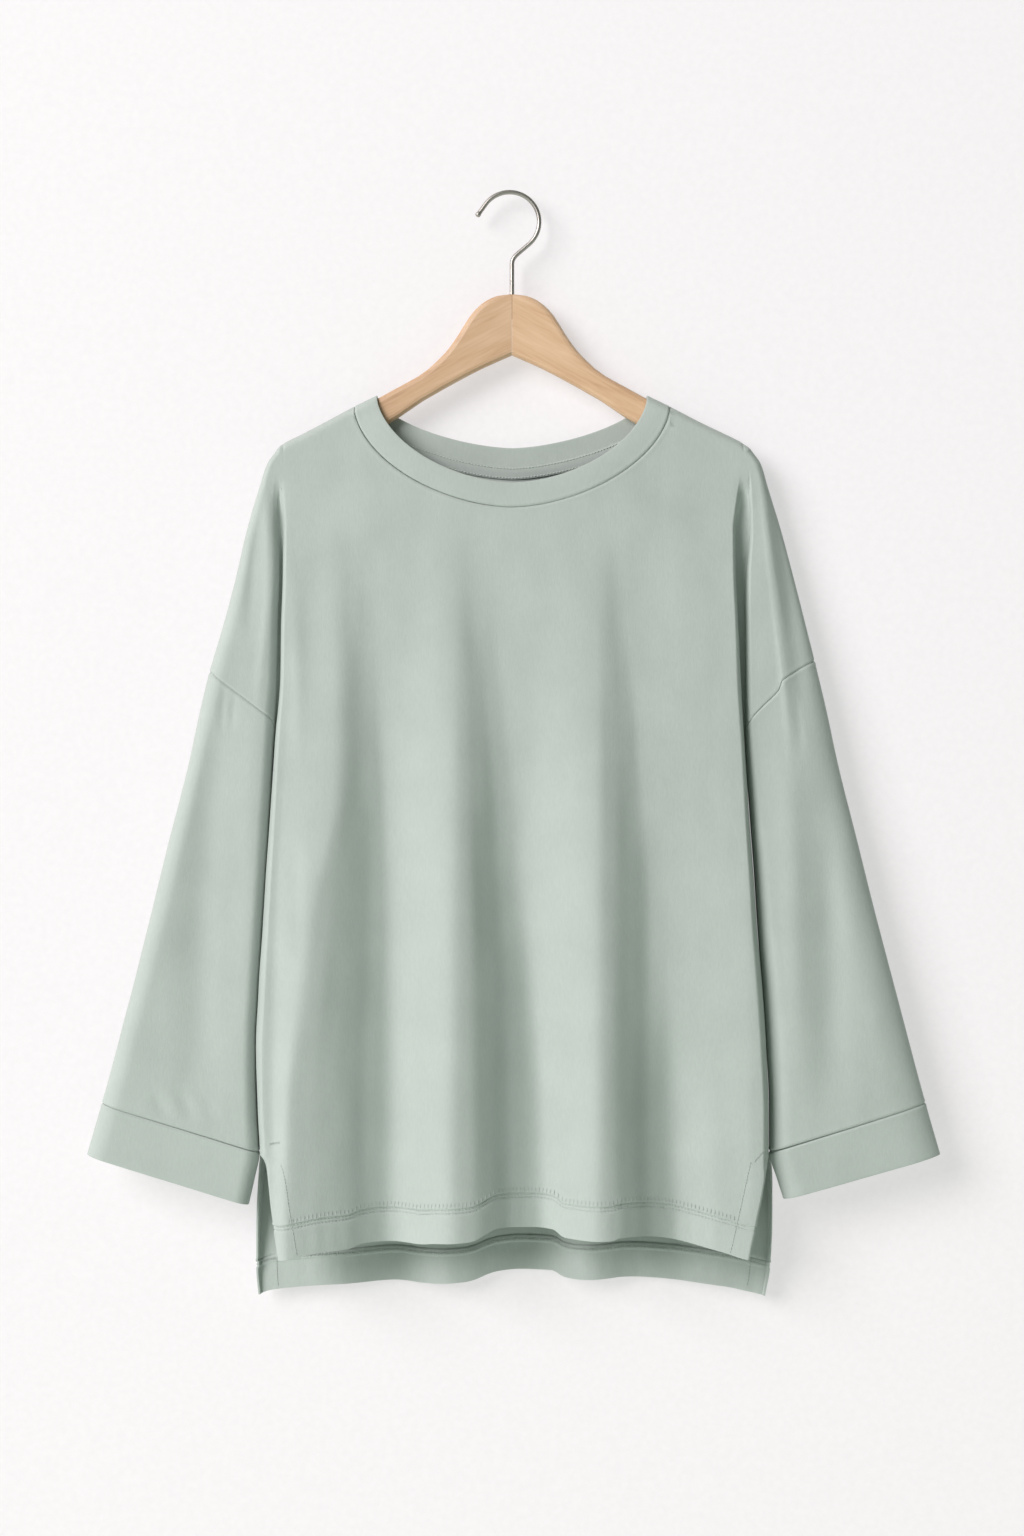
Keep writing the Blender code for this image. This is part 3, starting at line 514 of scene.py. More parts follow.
BACK = Panel(
    facing=1,
    neck_drop=59,
    neck_power=1.6,
    edge_drop=46,
    edge_power=1.62,
    depths=Table(
        "z depth",
        (-191, 9), (-240, 12), (-300, 15), (-430, 20), (-520, 23), (-700, 26), (-1000, 28),
    ),
    folds=BACK_FOLDS,
    fold_gain=1.0,
    hem=Table(
        "x height",
        (-230, -994.5), (-219.5, -990.8), (-196, -988), (-171, -986), (-145, -984.8), (-105, -982.5),
        (-82, -984), (-69, -984.3), (-44, -983.2), (-33.5, -981), (-23, -976.9), (-13, -974.4),
        (5, -973), (37, -973.3), (47, -978.3), (60, -980.4), (73, -980.6), (88, -979.9),
        (98, -979.2), (111, -979.4), (142, -980.8), (193, -987.4), (229, -995.6),
    ),
    slit=Table(
        "z left right open",
        (-862, 226.5, 231, 0),
        (-880, 228, 234.3, 0.15),
        (-930, 230.8, 235.4, 0.5),
        (-970, 231.5, 233.6, 0.75),
        (-997, 229.6, 229.3, 0.85),
    ),
)

# Creases of the front (-1) and the back (1): how wide and how high each is (a hollow is below zero), and the
# places that it runs through
CREASES = {
    -1: (
        (5.0, 1.8, (
            (-219, -246), (-219.5, -285), (-217.5, -330), (-218, -365), (-221, -401),
            (-225, -440), (-226, -475),
        )),
        (4.5, -1.3, ((-216, -256), (-213, -272), (-210, -290), (-209, -320))),
        (1.6, 0.45, (
            (-204, -262), (-202.5, -300), (-202.5, -360), (-205, -440), (-211, -560),
            (-219, -700), (-223, -850),
        )),
        (1.6, 0.6, ((202, -262), (198, -305), (198.5, -345), (200.5, -385), (204, -450), (209, -560))),
        (6.0, -1.5, ((-228, -280), (-232, -340), (-236, -405))),
        (3.2, -0.9, ((-257, -441), (-259, -462), (-260, -488))),
        (3.0, -0.8, ((-248, -449), (-250, -468), (-251, -486))),
        (15.0, -1.4, ((-174, -310), (-175, -400), (-168, -500))),
        (6.5, 1.3, ((-196, -330), (-192, -400), (-190, -460), (-190, -520))),
        (6.5, -1.2, ((-192, -580), (-192, -640), (-190, -700))),
        (3.6, 1.5, (
            (219, -242), (225, -266), (228.6, -302), (236, -360), (243, -432),
            (247, -475), (250, -520),
        )),
        (8.5, -3.4, ((232, -262), (239, -300), (249, -360), (257, -430), (263, -490))),
        (3.5, 1.2, ((208, -252), (211, -266), (216, -282))),
        (3.0, -0.8, ((254, -452), (257, -480), (259, -505))),
        (4.5, -1.5, ((-322, -806), (-314, -820), (-306, -832))),
        (4.0, -1.4, ((-300, -800), (-292, -818), (-286, -832))),
        (3.6, -1.1, ((-276, -806), (-270, -822), (-266, -836))),
        (17.0, -4.2, ((-258, -440), (-270, -545), (-275, -635), (-278, -725), (-282, -830))),
        (13.0, 3.0, ((-226, -430), (-231, -560), (-234, -650), (-238, -740), (-242, -830))),
        (22.0, 2.6, ((-282, -470), (-306, -560), (-324, -650), (-342, -740), (-356, -840))),
        (13.0, 3.4, ((246, -470), (250, -560), (252, -640), (254, -725), (258, -830))),
        (15.0, -3.8, ((280, -500), (284, -620), (287, -725), (290, -830))),
    ),
    1: (
        (4.5, 1.4, ((-224, -252), (-226, -310), (-231, -390))),
        (5.0, -2.0, ((-219, -250), (-213, -280), (-212, -340))),
        (5.5, 1.5, ((223, -250), (229, -300), (238, -380), (247, -460))),
        (14.0, -1.6, ((-150, -300), (-155, -420), (-150, -540))),
        (12.0, 1.4, ((120, -320), (128, -430), (126, -560))),
        (8.0, -1.2, ((245, -310), (255, -400), (263, -500))),
        (15.0, -1.8, ((-296, -590), (-312, -690), (-330, -780))),
        (15.0, -1.6, ((285, -560), (300, -680), (322, -790))),
        (3.4, -0.8, ((-270, -792), (-268, -812), (-267, -830))),
        (3.2, -0.7, ((300, -795), (298, -812), (297, -826))),
    ),
}

# How much higher the right armhole seam runs than the left one, over the distance from the middle, how far up
# and down the cloth moves with it, and how much it moves inward as it rises
RIGHT_ARMHOLE_RISE = Curve((205, 212, 225, 240.5, 246, 258, 280), (0, 2, 5, 8, 13.5, 12.5, 9))
RISE_REACH = 40.0
OUTLINE_LEAN = 0.28


def armhole_height(side, x):
    straight = ARMHOLE_TOP - LOWER_ARM.slope(0) * (OUTLINE.right(ARMHOLE_TOP) - x)
    return straight + (RIGHT_ARMHOLE_RISE(x) if side == "right" else 0)


def place(side, facing, x, depth, z):
    """A point in metres from a distance from the middle, a depth and a height."""
    if side == "right" and x > RIGHT_ARMHOLE_RISE.places[0]:
        away = z - armhole_height("left", x)
        rise = RIGHT_ARMHOLE_RISE(x) * bell(away, RISE_REACH)
        x, z = x - rise * OUTLINE_LEAN, z + rise
    return Vector((SIGN[side] * x + STEM_X, facing * depth, z)) * MM


def seam_strip_over_shoulder(panel, side, x, top):
    """Points down the cloth from the shoulder or neck seam, as far as a quarter turn over the arm."""
    start = SHOULDER_OF[side](x) - top
    quarter = ARM_ROUND * math.pi / 2
    if start < ARM_ROUND:
        done = ARM_ROUND * math.acos(1 - max(start, 0) / ARM_ROUND)
    else:
        done = quarter + start - ARM_ROUND
    points = []
    for angle in SEAM_ANGLES:
        length = done + ARM_ROUND * math.radians(angle)
        if length < quarter - 1e-6:
            drop = ARM_ROUND * (1 - math.cos(length / ARM_ROUND))
        else:
            drop = ARM_ROUND + length - quarter
        z = SHOULDER_OF[side](x) - drop
        points.append((x, max(panel.depth(side, x, z), HALF_GAP), z))
    return points


def seam_strip_round_corner(side, share):
    """Points from the seam inward, between the straight shoulder (0) and the hanger's tip (1)."""
    start = getattr(BODY, side)(BODY_EDGE_TOP)
    x = mix(start, TIP[side][0], share)
    z = SHOULDER_OF[side](x)
    turn = TIP_TURN * smooth(share)
    reach = mix(ARM_ROUND, getattr(UPPER_ARM, "out_" + side)(0) / math.cos(TIP_TURN), share)
    points = []
    for angle in SEAM_ANGLES:
        along = reach * (1 - math.cos(math.radians(angle)))
        depth = max(ARM_ROUND * math.sin(math.radians(angle)), HALF_GAP)
        points.append((x - along * math.sin(turn), depth, z - along * math.cos(turn)))
    return points


def rise_beside_valley(turn, z):
    """How the cloth rises beside the valley of the arm: softly at the shoulder and as a round edge below."""
    soft = smooth(1 - math.cos(turn))
    return mix(soft, math.sin(turn), smooth((VALLEY_TOP - z) / VALLEY_FADE))


def arm_section(outer, inner, slope, round_out, round_in, depth, valley, start_angles=EDGE_ANGLES):
    """Points from the outer edge over the arm's face to its inner edge, for one side of the cloth."""
    width = outer[0] - inner[0]
    dip = outer[1] - slope * width - inner[1]
    points = []
    for angle in start_angles:
        turn = math.radians(angle)
        across = round_out * (1 - math.cos(turn))
        points.append((outer[0] - across, depth * math.sin(turn), outer[1] - slope * across))
    for share in steps(FACE_STEPS)[1:-1]:
        across = mix(round_out, width - round_in, share)
        points.append((outer[0] - across, depth, outer[1] - slope * across))
    for angle in reversed(EDGE_ANGLES):
        turn = math.radians(angle)
        across = width - round_in * (1 - math.cos(turn))
        lie = valley + (depth - valley) * rise_beside_valley(turn, inner[1])
        points.append((outer[0] - across, lie, outer[1] - slope * across - dip * (1 - math.sin(turn)) ** 3))
    return points


def arm_sizes(table, side, share):
    return [getattr(table, name)(share) for name in ("slope", "out_" + side, "in_" + side, "depth")]


def upper_arm_section(side, share):
    """The arm's face on a body panel, from the hanger's tip (0) to the armhole seam (1)."""
    outer_z = mix(TIP[side][1], ARMHOLE_TOP, share)
    outer = (getattr(OUTLINE, side)(outer_z) if share > 0 else TIP[side][0], outer_z)
    inner_z = mix(ARM_INNER_TOP, UNDERARM, share)
    inner = (getattr(BODY, "arm_" + side)(inner_z), inner_z)
    valley = getattr(VALLEY, side)(inner_z)
    points = arm_section(outer, inner, *arm_sizes(UPPER_ARM, side, share), valley, SEAM_ANGLES)
    return [(x, max(depth, HALF_GAP), z) for x, depth, z in points]


def lower_arm_section(side, share, gap=0.0):
    outer_z = mix(ARMHOLE_TOP, CUFF_SEAM_OUTER, share) - gap
    inner_z = mix(UNDERARM, CUFF_SEAM_INNER, share) - gap * STEEP_SEAM
    outer = (getattr(OUTLINE, side)(outer_z), outer_z)
    inner = (getattr(BODY, "arm_" + side)(inner_z), inner_z)
    return arm_section(outer, inner, *arm_sizes(LOWER_ARM, side, share), CROTCH_GAP)


def body_row(panel, side, height_of, spread):
    """Points across one half of the body, from its edge to the middle, at the heights that are given."""
    points = []
    edge_z = height_of(0)
    edge_x, valley = panel.edge(side, edge_z)
    turn_round = BODY.round(edge_z)
    for index, angle in enumerate(EDGE_ANGLES):
        turn = math.radians(angle)
        z = height_of(index)
        x = edge_x - turn_round * (1 - math.cos(turn))
        full = panel.depth(side, x, z)
        points.append((x, valley + (full - valley) * rise_beside_valley(turn, edge_z), z))
    for offset, share in enumerate(spread, len(EDGE_ANGLES)):
        z = height_of(offset)
        x = (edge_x - turn_round) * share
        points.append((x, panel.depth(side, x, z), z))
    return points


def body_columns(panel, side):
    """The top of each column of the body, from its edge to the middle, as (x, z) pairs."""
    edge = getattr(BODY, side)(BODY_EDGE_TOP)
    turn_round = BODY.round(BODY_EDGE_TOP)
    columns = [edge - turn_round * (1 - math.cos(math.radians(angle))) for angle in EDGE_ANGLES]
    columns += [mix(edge - turn_round, NECK_SEAM_HALF, share) for share in steps(SHOULDER_STEPS)[1:-1]]
    tops = [(x, SHOULDER_OF[side](x)) for x in columns]
    return tops + [panel.neck_seam(angle) for angle in panel.neck_angles()]


def even_rows(length):
    return steps(round(length / ROW_SPACING))


def rows_to_seam(length):
    """Shares of a length, close together where it ends at a seam."""
    even = [share for share in even_rows(length) if share * length < length - CLOSE_ROWS[-1] - 1]
    return even + [1 - close / length for close in reversed(CLOSE_ROWS)]


def rows_from_seam(close, count, clear):
    """Shares that start with the close ones at a seam and go on evenly."""
    return close + [share for share in steps(count) if share > close[-1] * clear]


def valley_row(start, end):
    """Points over the valley's bottom, from the arm's inner edge to the body's edge."""
    dip = (start[0] - end[0]) / 2 * smooth((VALLEY_TOP - start[2]) / VALLEY_FADE)
    low = max(min(end[1], start[1]) - dip, CROTCH_GAP)
    row = []
    for share in steps(VALLEY_STEPS):
        x, depth, z = (mix(start[i], end[i], share) for i in range(3))
        row.append((x, mix(depth, low, math.sin(math.pi * share)), z))
    return [start] + row[1:-1] + [end]


def tip_strips(side, feet):
    """Strips round the hanger's tip that end on the feet: the tops of the arm's block and of the valley."""
    strips = []
    for index, end in enumerate(feet):
        strip = seam_strip_round_corner(side, 1 - index / (len(feet) - 1))
        shift = [end[i] - strip[-1][i] for i in range(3)]
        weight = [smooth(i / (len(strip) - 1)) for i in range(len(strip))]
        moved = [tuple(point[i] + shift[i] * w for i in range(3)) for point, w in zip(strip, weight)]
        strips.append([(x, max(depth, HALF_GAP), z) for x, depth, z in moved])
    return strips


def body_rows(panel, side, feet, chest):
    """Rows down one half of the body, from the feet of the shoulder's strips to the hem."""
    first = len(EDGE_ANGLES)
    level = [1 - share for share in steps(len(feet) - first)[1:]]
    inner_edge = feet[first - 1][0]
    rows = []
    for share in chest:
        spread = [mix(foot[0] / inner_edge, flat, smooth(share)) for foot, flat in zip(feet[first:], level)]
        rows.append(body_row(panel, side, lambda i: mix(feet[i][2], UNDERARM, share), spread))
    for share in even_rows(UNDERARM - SLIT_TOP)[1:]:
        rows.append(body_row(panel, side, lambda i: mix(UNDERARM, SLIT_TOP, share), level))
    # The hem's heights are read where its columns stand at the hem
    across = [x for x, _, _ in rows[-1]]
    for _ in range(2):
        ends = [panel.hem.height(SIGN[side] * x) for x in across]
        across = [x for x, _, _ in body_row(panel, side, lambda i: ends[i], level)]
    above = HEM_CLOSE_ROWS[0]
    for share in even_rows(SLIT_TOP - ends[0] - above)[1:-1]:
        rows.append(body_row(panel, side, lambda i: mix(SLIT_TOP, ends[i] + above, share), level))
    for up in HEM_CLOSE_ROWS:
        rows.append(body_row(panel, side, lambda i: ends[i] + up, level))
    return rows


def half_panel(panel, side):
    """The grids of points that make up one half of the front or the back."""
    strips = [seam_strip_over_shoulder(panel, side, x, z) for x, z in body_columns(panel, side)]
    chest = rows_to_seam(ARM_INNER_TOP - UNDERARM)
    rows = body_rows(panel, side, [strip[-1] for strip in strips], chest)
    arms = [upper_arm_section(side, share) for share in chest]
    strip_end = len(SEAM_ANGLES) - 1
    arm_block = [section[strip_end:] for section in arms]
    arm_edge = [section[: strip_end + 1] for section in arms]
    valley = [valley_row(arm[-1], body[0]) for body, arm in zip(rows, arm_block)]
    round_tip = tip_strips(side, arm_block[0] + valley[0][1:])
    round_tip[0], round_tip[-1] = arm_edge[0], strips[0]
    return [rows, strips, arm_block, arm_edge, valley, round_tip]


def grid_faces(rows, start, closed=False):
    """Quads between neighbouring rows of points that are numbered from a start."""
    width = len(rows[0])
    faces = []
    for i in range(len(rows) - 1):
        for j in range(width if closed else width - 1):
            a = start + i * width + j
            b = start + i * width + (j + 1) % width
            faces.append((a, b, b + width, a + width))
    return faces


def surface(name, grids, outward, closed=False):
    """One smooth skin from grids of points. At each place outward says which way is out."""
    points, faces = [], []
    for rows in grids:
        faces += grid_faces(rows, len(points), closed)
        points += [point for row in rows for point in row]
    mesh = bpy.data.meshes.new(name)
    mesh.from_pydata(points, [], faces)
    shape = bmesh.new()
    shape.from_mesh(mesh)
    bmesh.ops.remove_doubles(shape, verts=shape.verts, dist=MERGE_REACH * MM)
    bmesh.ops.recalc_face_normals(shape, faces=shape.faces)
    votes = sum(face.normal.dot(outward(face.calc_center_median())) for face in shape.faces)
    if votes < 0:
        bmesh.ops.reverse_faces(shape, faces=shape.faces)
    shape.to_mesh(mesh)
    shape.free()
    mesh.shade_smooth()
    return add(name, mesh)


def crease_lift(x, z, width, height, path):
    """How far one crease lifts the cloth at these places. It fades towards both ends of its path."""
    path = np.array(path, float)
    nearest = np.full(len(x), np.inf)
    along = np.zeros(len(x))
    lengths = np.hypot(*(path[1:] - path[:-1]).T)
    done = 0.0
    for start, end, length in zip(path, path[1:], lengths):
        way = (end - start) / length
        part = np.clip((x - start[0]) * way[0] + (z - start[1]) * way[1], 0, length)
        away = np.hypot(x - start[0] - way[0] * part, z - start[1] - way[1] * part)
        along = np.where(away < nearest, (done + part) / lengths.sum(), along)
        nearest = np.minimum(away, nearest)
        done += length
    ends = np.sin(np.pi * np.clip(along, 0, 1)) ** CREASE_ENDS
    return height * ends * np.exp(-((nearest / width) ** 2))


def crease_heights(x, z, facing):
    """How far all creases together lift the cloth at these places."""
    total = np.zeros(len(x))
    for side, creases in CREASES.items():
        for crease in creases:
            total += np.where(facing == side, crease_lift(x, z, *crease), 0)
    return total


def soft_ripple(x, z, facing):
    """The cloth's own unevenness: long upright waves and small soft dents."""
    return sum(
        height * noise.noise(Vector((x / across + start, facing * seed, z / down)))
        for height, across, down, start, seed in RIPPLES
    )


def level_valley_top(piece, facing):
    """Lets body and arm run into each other above the valley, which starts below the shoulder."""
    skin = skin_of(piece)
    inner, outermost = LEVEL_X
    for vertex in piece.data.vertices:
        x, z = vertex.co.x / MM - STEM_X, vertex.co.z / MM
        side = side_of(x)
        outer = min(outermost, getattr(OUTLINE, side)(z) - LEVEL_MARGIN)
        below_seam = smooth((abs(vertex.co.y / MM) - LEVEL_DEPTH) / LEVEL_DEPTH_FADE)
        below_seam *= smooth((LEVEL_TOP - z) / LEVEL_TOP_FADE)
        weight = below_seam * smooth((z - LEVEL_START[side]) / LEVEL_START_FADE + 1)
        if weight > 0 and inner < abs(x) < outer:
            from_body, _ = on_skin(skin, SIGN[side] * inner, z, facing)
            from_arm, _ = on_skin(skin, SIGN[side] * outer, z, facing)
            if from_body and from_arm:
                level = mix(from_body.y, from_arm.y, smooth((abs(x) - inner) / (outer - inner)))
                vertex.co.y = mix(vertex.co.y, level, weight)


def relief(piece, ripple=1.0):
    """Lifts a skin by its creases and its soft unevenness, least along the seams between front and back."""
    mesh = piece.data
    places = np.array([vertex.co for vertex in mesh.vertices]) / MM
    normals = np.array([vertex.normal for vertex in mesh.vertices])
    x, y, z = places[:, 0] - STEM_X, places[:, 1], places[:, 2]
    facing = np.where(y < 0, -1, 1)
    lift = crease_heights(x, z, facing)
    lift += ripple * np.array([soft_ripple(*place) for place in zip(x, z, facing)])
    drop = np.array([SHOULDER.left(min(abs(value), SHOULDER_END)) for value in x]) - z
    lift *= np.clip(np.abs(y) / RELIEF_DEPTH, 0, 1) * np.clip((drop - RELIEF_DROP) / RELIEF_DROP_FADE, 0, 1)
    moved = (places + normals * lift[:, None]) * MM
    mesh.vertices.foreach_set("co", moved.ravel())
    mesh.update()


def roll_edges(piece, profile_at):
    """Shapes the cloth beside its edges by the function of the distance that profile_at gives for a place."""
    shape = bmesh.new()
    shape.from_mesh(piece.data)
    shape.normal_update()
    edge_points = [vertex for vertex in shape.verts if vertex.is_boundary]
    tree = KDTree(len(edge_points))
    profiles = []
    for index, vertex in enumerate(edge_points):
        tree.insert(vertex.co, index)
        profiles.append(profile_at(vertex.co / MM))
    tree.balance()
    lifts = []
    for vertex in shape.verts:
        _, index, away = tree.find(vertex.co)
        profile = profiles[index]
        lifts.append(profile(away / MM) * MM if profile else 0.0)
    for vertex, lift in zip(shape.verts, lifts):
        vertex.co += vertex.normal * lift
    shape.to_mesh(piece.data)
    shape.free()


def seam_roll(away):
    """The cloth rises a little beside a seam and dips into it."""
    ridge, ridge_at, ridge_width = SEAM_RIDGE
    dip, dip_width = SEAM_DIP
    return ridge * bell(away - ridge_at, ridge_width) - dip * bell(away, dip_width)


def thicken(piece, thickness, turned=None):
    """Gives a skin its thickness on the inside and softens its rims. Turned names a group of turned cloth."""
    thick = piece.modifiers.new("wall", "SOLIDIFY")
    thick.thickness = thickness * MM
    thick.offset = -1
    if turned:
        thick.vertex_group = turned
        thick.thickness_vertex_group = WALL / TURNED_WALL
    rim = piece.modifiers.new("rim", "BEVEL")
    rim.width = RIM_SHARE * WALL * MM
    rim.segments = 2
    rim.limit_method = "ANGLE"
    rim.angle_limit = RIM_ANGLE
    bpy.context.view_layer.objects.active = piece
    for modifier in list(piece.modifiers):
        bpy.ops.object.modifier_apply(modifier=modifier.name)
    piece.data.shade_smooth()
    piece.data.set_sharp_from_angle(angle=SHARP_ANGLE)


def sewing_lift(x, z, up, inward):
    """How the hem and the slit's facing rise and sink at a distance from the hem and from the slit."""
    below_tack = smooth((SLIT_TOP - TACK_REACH - z) / TACK_REACH)
    hem_pucker = PUCKER_EVEN + PUCKER_SWING * uneven(x, *HEM_PUCKER)
    slit_pucker = PUCKER_EVEN + PUCKER_SWING * uneven(z, *SLIT_PUCKER)
    lift = 0.0
    for row in HEM_ROWS_UP:
        lift -= hem_pucker * bell(up - row, HEM_ROW_WIDTH)
    height, above, width = TURNED_EDGE
    lift += height * bell(up - HEM_ROWS_UP[1] - above, width)
    height, at, width = PUCKERS
    lift += height * (hem_pucker - PUCKER_EVEN) * bell(up - at, width)
    height, at, width = WAVES
    lift += height * uneven(x, *HEM_WAVE) * bell(up - at, width)
    depth, width = SLIT_ROW
    lift -= depth * below_tack * slit_pucker * bell(inward - FACING_ROW_IN, width)
    lift += TURNED_RISE * smooth((FACING_ROW_IN - inward) / TURNED_RISE_REACH) * below_tack
    lift += TURNED_RISE * smooth((HEM_ROWS_UP[0] - up) / TURNED_RISE_REACH)
    return lift


def sewing_relief(piece, panel):
    """Sinks the stitched rows of the hem and the slits, with small puckers, and lifts the turned cloth."""
    mesh = piece.data
    group = piece.vertex_groups.new(name="turned")
    single, turned = [], []
    normals = [vertex.normal.copy() for vertex in mesh.vertices]
    for vertex, normal in zip(mesh.vertices, normals):
        x, z = vertex.co.x / MM - STEM_X, vertex.co.z / MM
        is_turned = False
        if z < SLIT_TOP and abs(x) < BODY_LIMIT:
            up, inward = z - panel.hem.height(x), panel.edge(side_of(x), z)[0] - abs(x)
            vertex.co += normal * sewing_lift(x, z, up, inward) * MM
            is_turned = up < TURNED_HEM or inward < TURNED_SLIT
        (turned if is_turned else single).append(vertex.index)
    group.add(turned, 1.0, "REPLACE")
    group.add(single, 0.0, "REPLACE")
    mesh.update()


def panel_edge_profile(place_on_edge):
    """Seams at the neck and armhole roll inward. Hems, slits and the seams between front and back don't."""
    x, z = place_on_edge.x - STEM_X, place_on_edge.z
    side, x = side_of(x), abs(x)
    on_neck = x < NECK_SEAM_HALF + EDGE_MARGIN and z > UNDERARM and abs(place_on_edge.y) >= EDGE_MARGIN
    on_armhole = x > ARMHOLE_FROM and abs(z - armhole_height(side, x + ARMHOLE_SHIFT)) < ARMHOLE_NEAR
    return seam_roll if on_neck or on_armhole else None


def make_panel(name, panel):
    grids = []
    for side in SIGN:
        for rows in half_panel(panel, side):
            grids.append([[place(side, panel.facing, *point) for point in row] for row in rows])
    piece = surface(name, grids, lambda centre: Vector((0, panel.facing, 0)))
    level_valley_top(piece, panel.facing)
    relief(piece)
    sewing_relief(piece, panel)
    roll_edges(piece, panel_edge_profile)
    return piece


def ring_round(side, sections):
    """Closed rings from sections of the front, mirrored for the back."""
    rings = []
    for section in sections:
        front = [place(side, -1, *point) for point in section]
        back = [place(side, 1, *point) for point in section[:0:-1]]
        rings.append(front + back)
    return rings


def middle_of(rings):
    return sum((point for ring in rings for point in ring), Vector()) / sum(map(len, rings))


def away_from(middle, axis):
    """The direction away from a line, for the outside of a tube."""
    line = axis.normalized()

    def outward(centre):
        reach = centre - middle
        return (reach - line * reach.dot(line)).normalized()

    return outward


def tube(name, rings, axis):
    """A skin that is closed round an axis."""
    return surface(name, [rings], away_from(middle_of(rings), axis), closed=True)


def make_sleeve(side):
    length = ARMHOLE_TOP - CUFF_SEAM_OUTER
    close = [row / length for row in CLOSE_ROWS]
    clear = close[-1] * ROW_CLEAR["sleeve"]
    even = [share for share in even_rows(length) if clear < share < 1 - clear]
    shares = close + even + [1 - share for share in reversed(close)]
    sections = [lower_arm_section(side, share, SEAM_GAP * (1 - share)) for share in shares]
    rings = ring_round(side, sections)
    piece = tube("sleeve_shell_" + side, rings, middle_of(rings[-1:]) - middle_of(rings[:1]))
    relief(piece)
    roll_edges(piece, lambda place_on_edge: seam_roll)
    return piece


def cuff_edge_profile(place_on_edge):
    """Only the cuff's seam rolls inward. Its end is a fold."""
    x, z = abs(place_on_edge.x - STEM_X), place_on_edge.z
    seam_z = CUFF_SEAM_OUTER - (CUFF_SEAM_X - x) * (CUFF_SEAM_OUTER - CUFF_SEAM_INNER) / CUFF_SEAM_WIDTH
    return seam_roll if z > seam_z - CUFF_NEAR else None


def make_cuff(side):
    """A doubled band below the cuff seam."""
    outer_x = getattr(OUTLINE, side)
    inner_x = getattr(BODY, "arm_" + side)
    length = CUFF_SEAM_OUTER - CUFF_END_OUTER
    close = [row / length for row in CLOSE_ROWS]
    sections = []
    for share in rows_from_seam(close, CUFF_ROWS, ROW_CLEAR["cuff"]):
        outer_z = mix(CUFF_SEAM_OUTER - SEAM_GAP, CUFF_END_OUTER, share)
        inner_z = mix(CUFF_SEAM_INNER - SEAM_GAP, CUFF_END_INNER[side], share)
        outer = (outer_x(outer_z), outer_z)
        inner = (inner_x(inner_z), inner_z)
        slope = (outer_z - inner_z) / (outer[0] - inner[0])
        depth = mix(LOWER_ARM.depth(1), CUFF_END_DEPTH, share)
        rounds = arm_sizes(LOWER_ARM, side, 1)[1:3]
        sections.append(arm_section(outer, inner, slope, *rounds, depth, CROTCH_GAP))
    rings = ring_round(side, sections)
    piece = tube("cuff_band_" + side, rings, Vector((0, 0, 1)))
    relief(piece, ripple=0.6)
    roll_edges(piece, cuff_edge_profile)
    return piece


def band_column(panel, side, angle):
    """Points up the neck band from its seam to its folded edge."""
    seam, edge = panel.neck_seam(angle), panel.neck_edge(angle)
    length = math.hypot(seam[0] - edge[0], seam[1] - edge[1])
    close = [(row + SEAM_GAP) / length for row in CLOSE_ROWS]
    points = []
    for share in rows_from_seam(close, BAND_ROWS, ROW_CLEAR["band"]):
        x, z = mix(seam[0], edge[0], share), mix(seam[1], edge[1], share)
        crown = BAND_CROWN * math.sin(math.pi * share) ** BAND_CROWN_POWER if angle > 0 else 0.0
        lean = BAND_LEAN[side] if panel is FRONT else 0.0
        stand = lean * share * math.cos(angle) * smooth(angle / BAND_LEAN_FROM)
        points.append((x, panel.depth(side, x, z) + crown + stand if angle > 0 else 0.0, z))
    return points


def make_neck_band():
    columns = []
    quarters = ((FRONT, "left", 1), (FRONT, "right", -1), (BACK, "right", 1), (BACK, "left", -1))
    for panel, side, turn in quarters:
        angles = panel.neck_angles()[::turn]
        for angle in angles[:-1]:
            columns.append([place(side, panel.facing, *point) for point in band_column(panel, side, angle)])
    shortest = min(map(len, columns))
    rings = [list(ring) for ring in zip(*[column[:shortest - 1] + column[-1:] for column in columns])]
    piece = tube("neck_band_ring", rings, Vector((0, 0, 1)))

    def profile_at(place_on_edge):
        x, z = abs(place_on_edge.x - STEM_X), place_on_edge.z
        panel = FRONT if place_on_edge.y < 0 else BACK
        share = min(x / NECK_SEAM_HALF, 1)
        seam_z = NECK_SEAM_TOP - panel.neck_drop * (1 - share**panel.neck_power) ** (1 / panel.neck_power)
        return seam_roll if abs(z - seam_z) < NECK_NEAR else None

    roll_edges(piece, profile_at)
    return piece


def tape_line(offset):
    """Places from left to right along the back neck seam, moved towards the band's top edge by an offset."""
    line = []
    for sign, turn in ((-1, 1), (1, -1)):
        angles = [angle for angle in BACK.neck_angles() if BACK.neck_seam(angle)[0] < TAPE_REACH][::turn]
        for angle in angles[1:] if turn < 0 else angles:
            seam, edge = BACK.neck_seam(angle), BACK.neck_edge(angle)
            up = Vector((edge[0] - seam[0], edge[1] - seam[1])).normalized()
            line.append((sign * (seam[0] + up[0] * offset), seam[1] + up[1] * offset))
    return line


def make_neck_tape():
    """A strip that covers the inside of the back neck seam."""
    rows = []
    for share in steps(TAPE_STEPS):
        crown = TAPE_CROWN * math.sin(math.pi * share)
        row = []
        for x, z in tape_line(mix(-TAPE_HALF_WIDTH, TAPE_HALF_WIDTH, share)):
            side = side_of(x)
            depth = BACK.depth(side, abs(x), z) - BAND_WALL - crown
            row.append(place(side, BACK.facing, abs(x), depth, z))
        rows.append(row)
    return surface("neck_tape_strip", [rows], lambda centre: Vector((0, 1, 0)))


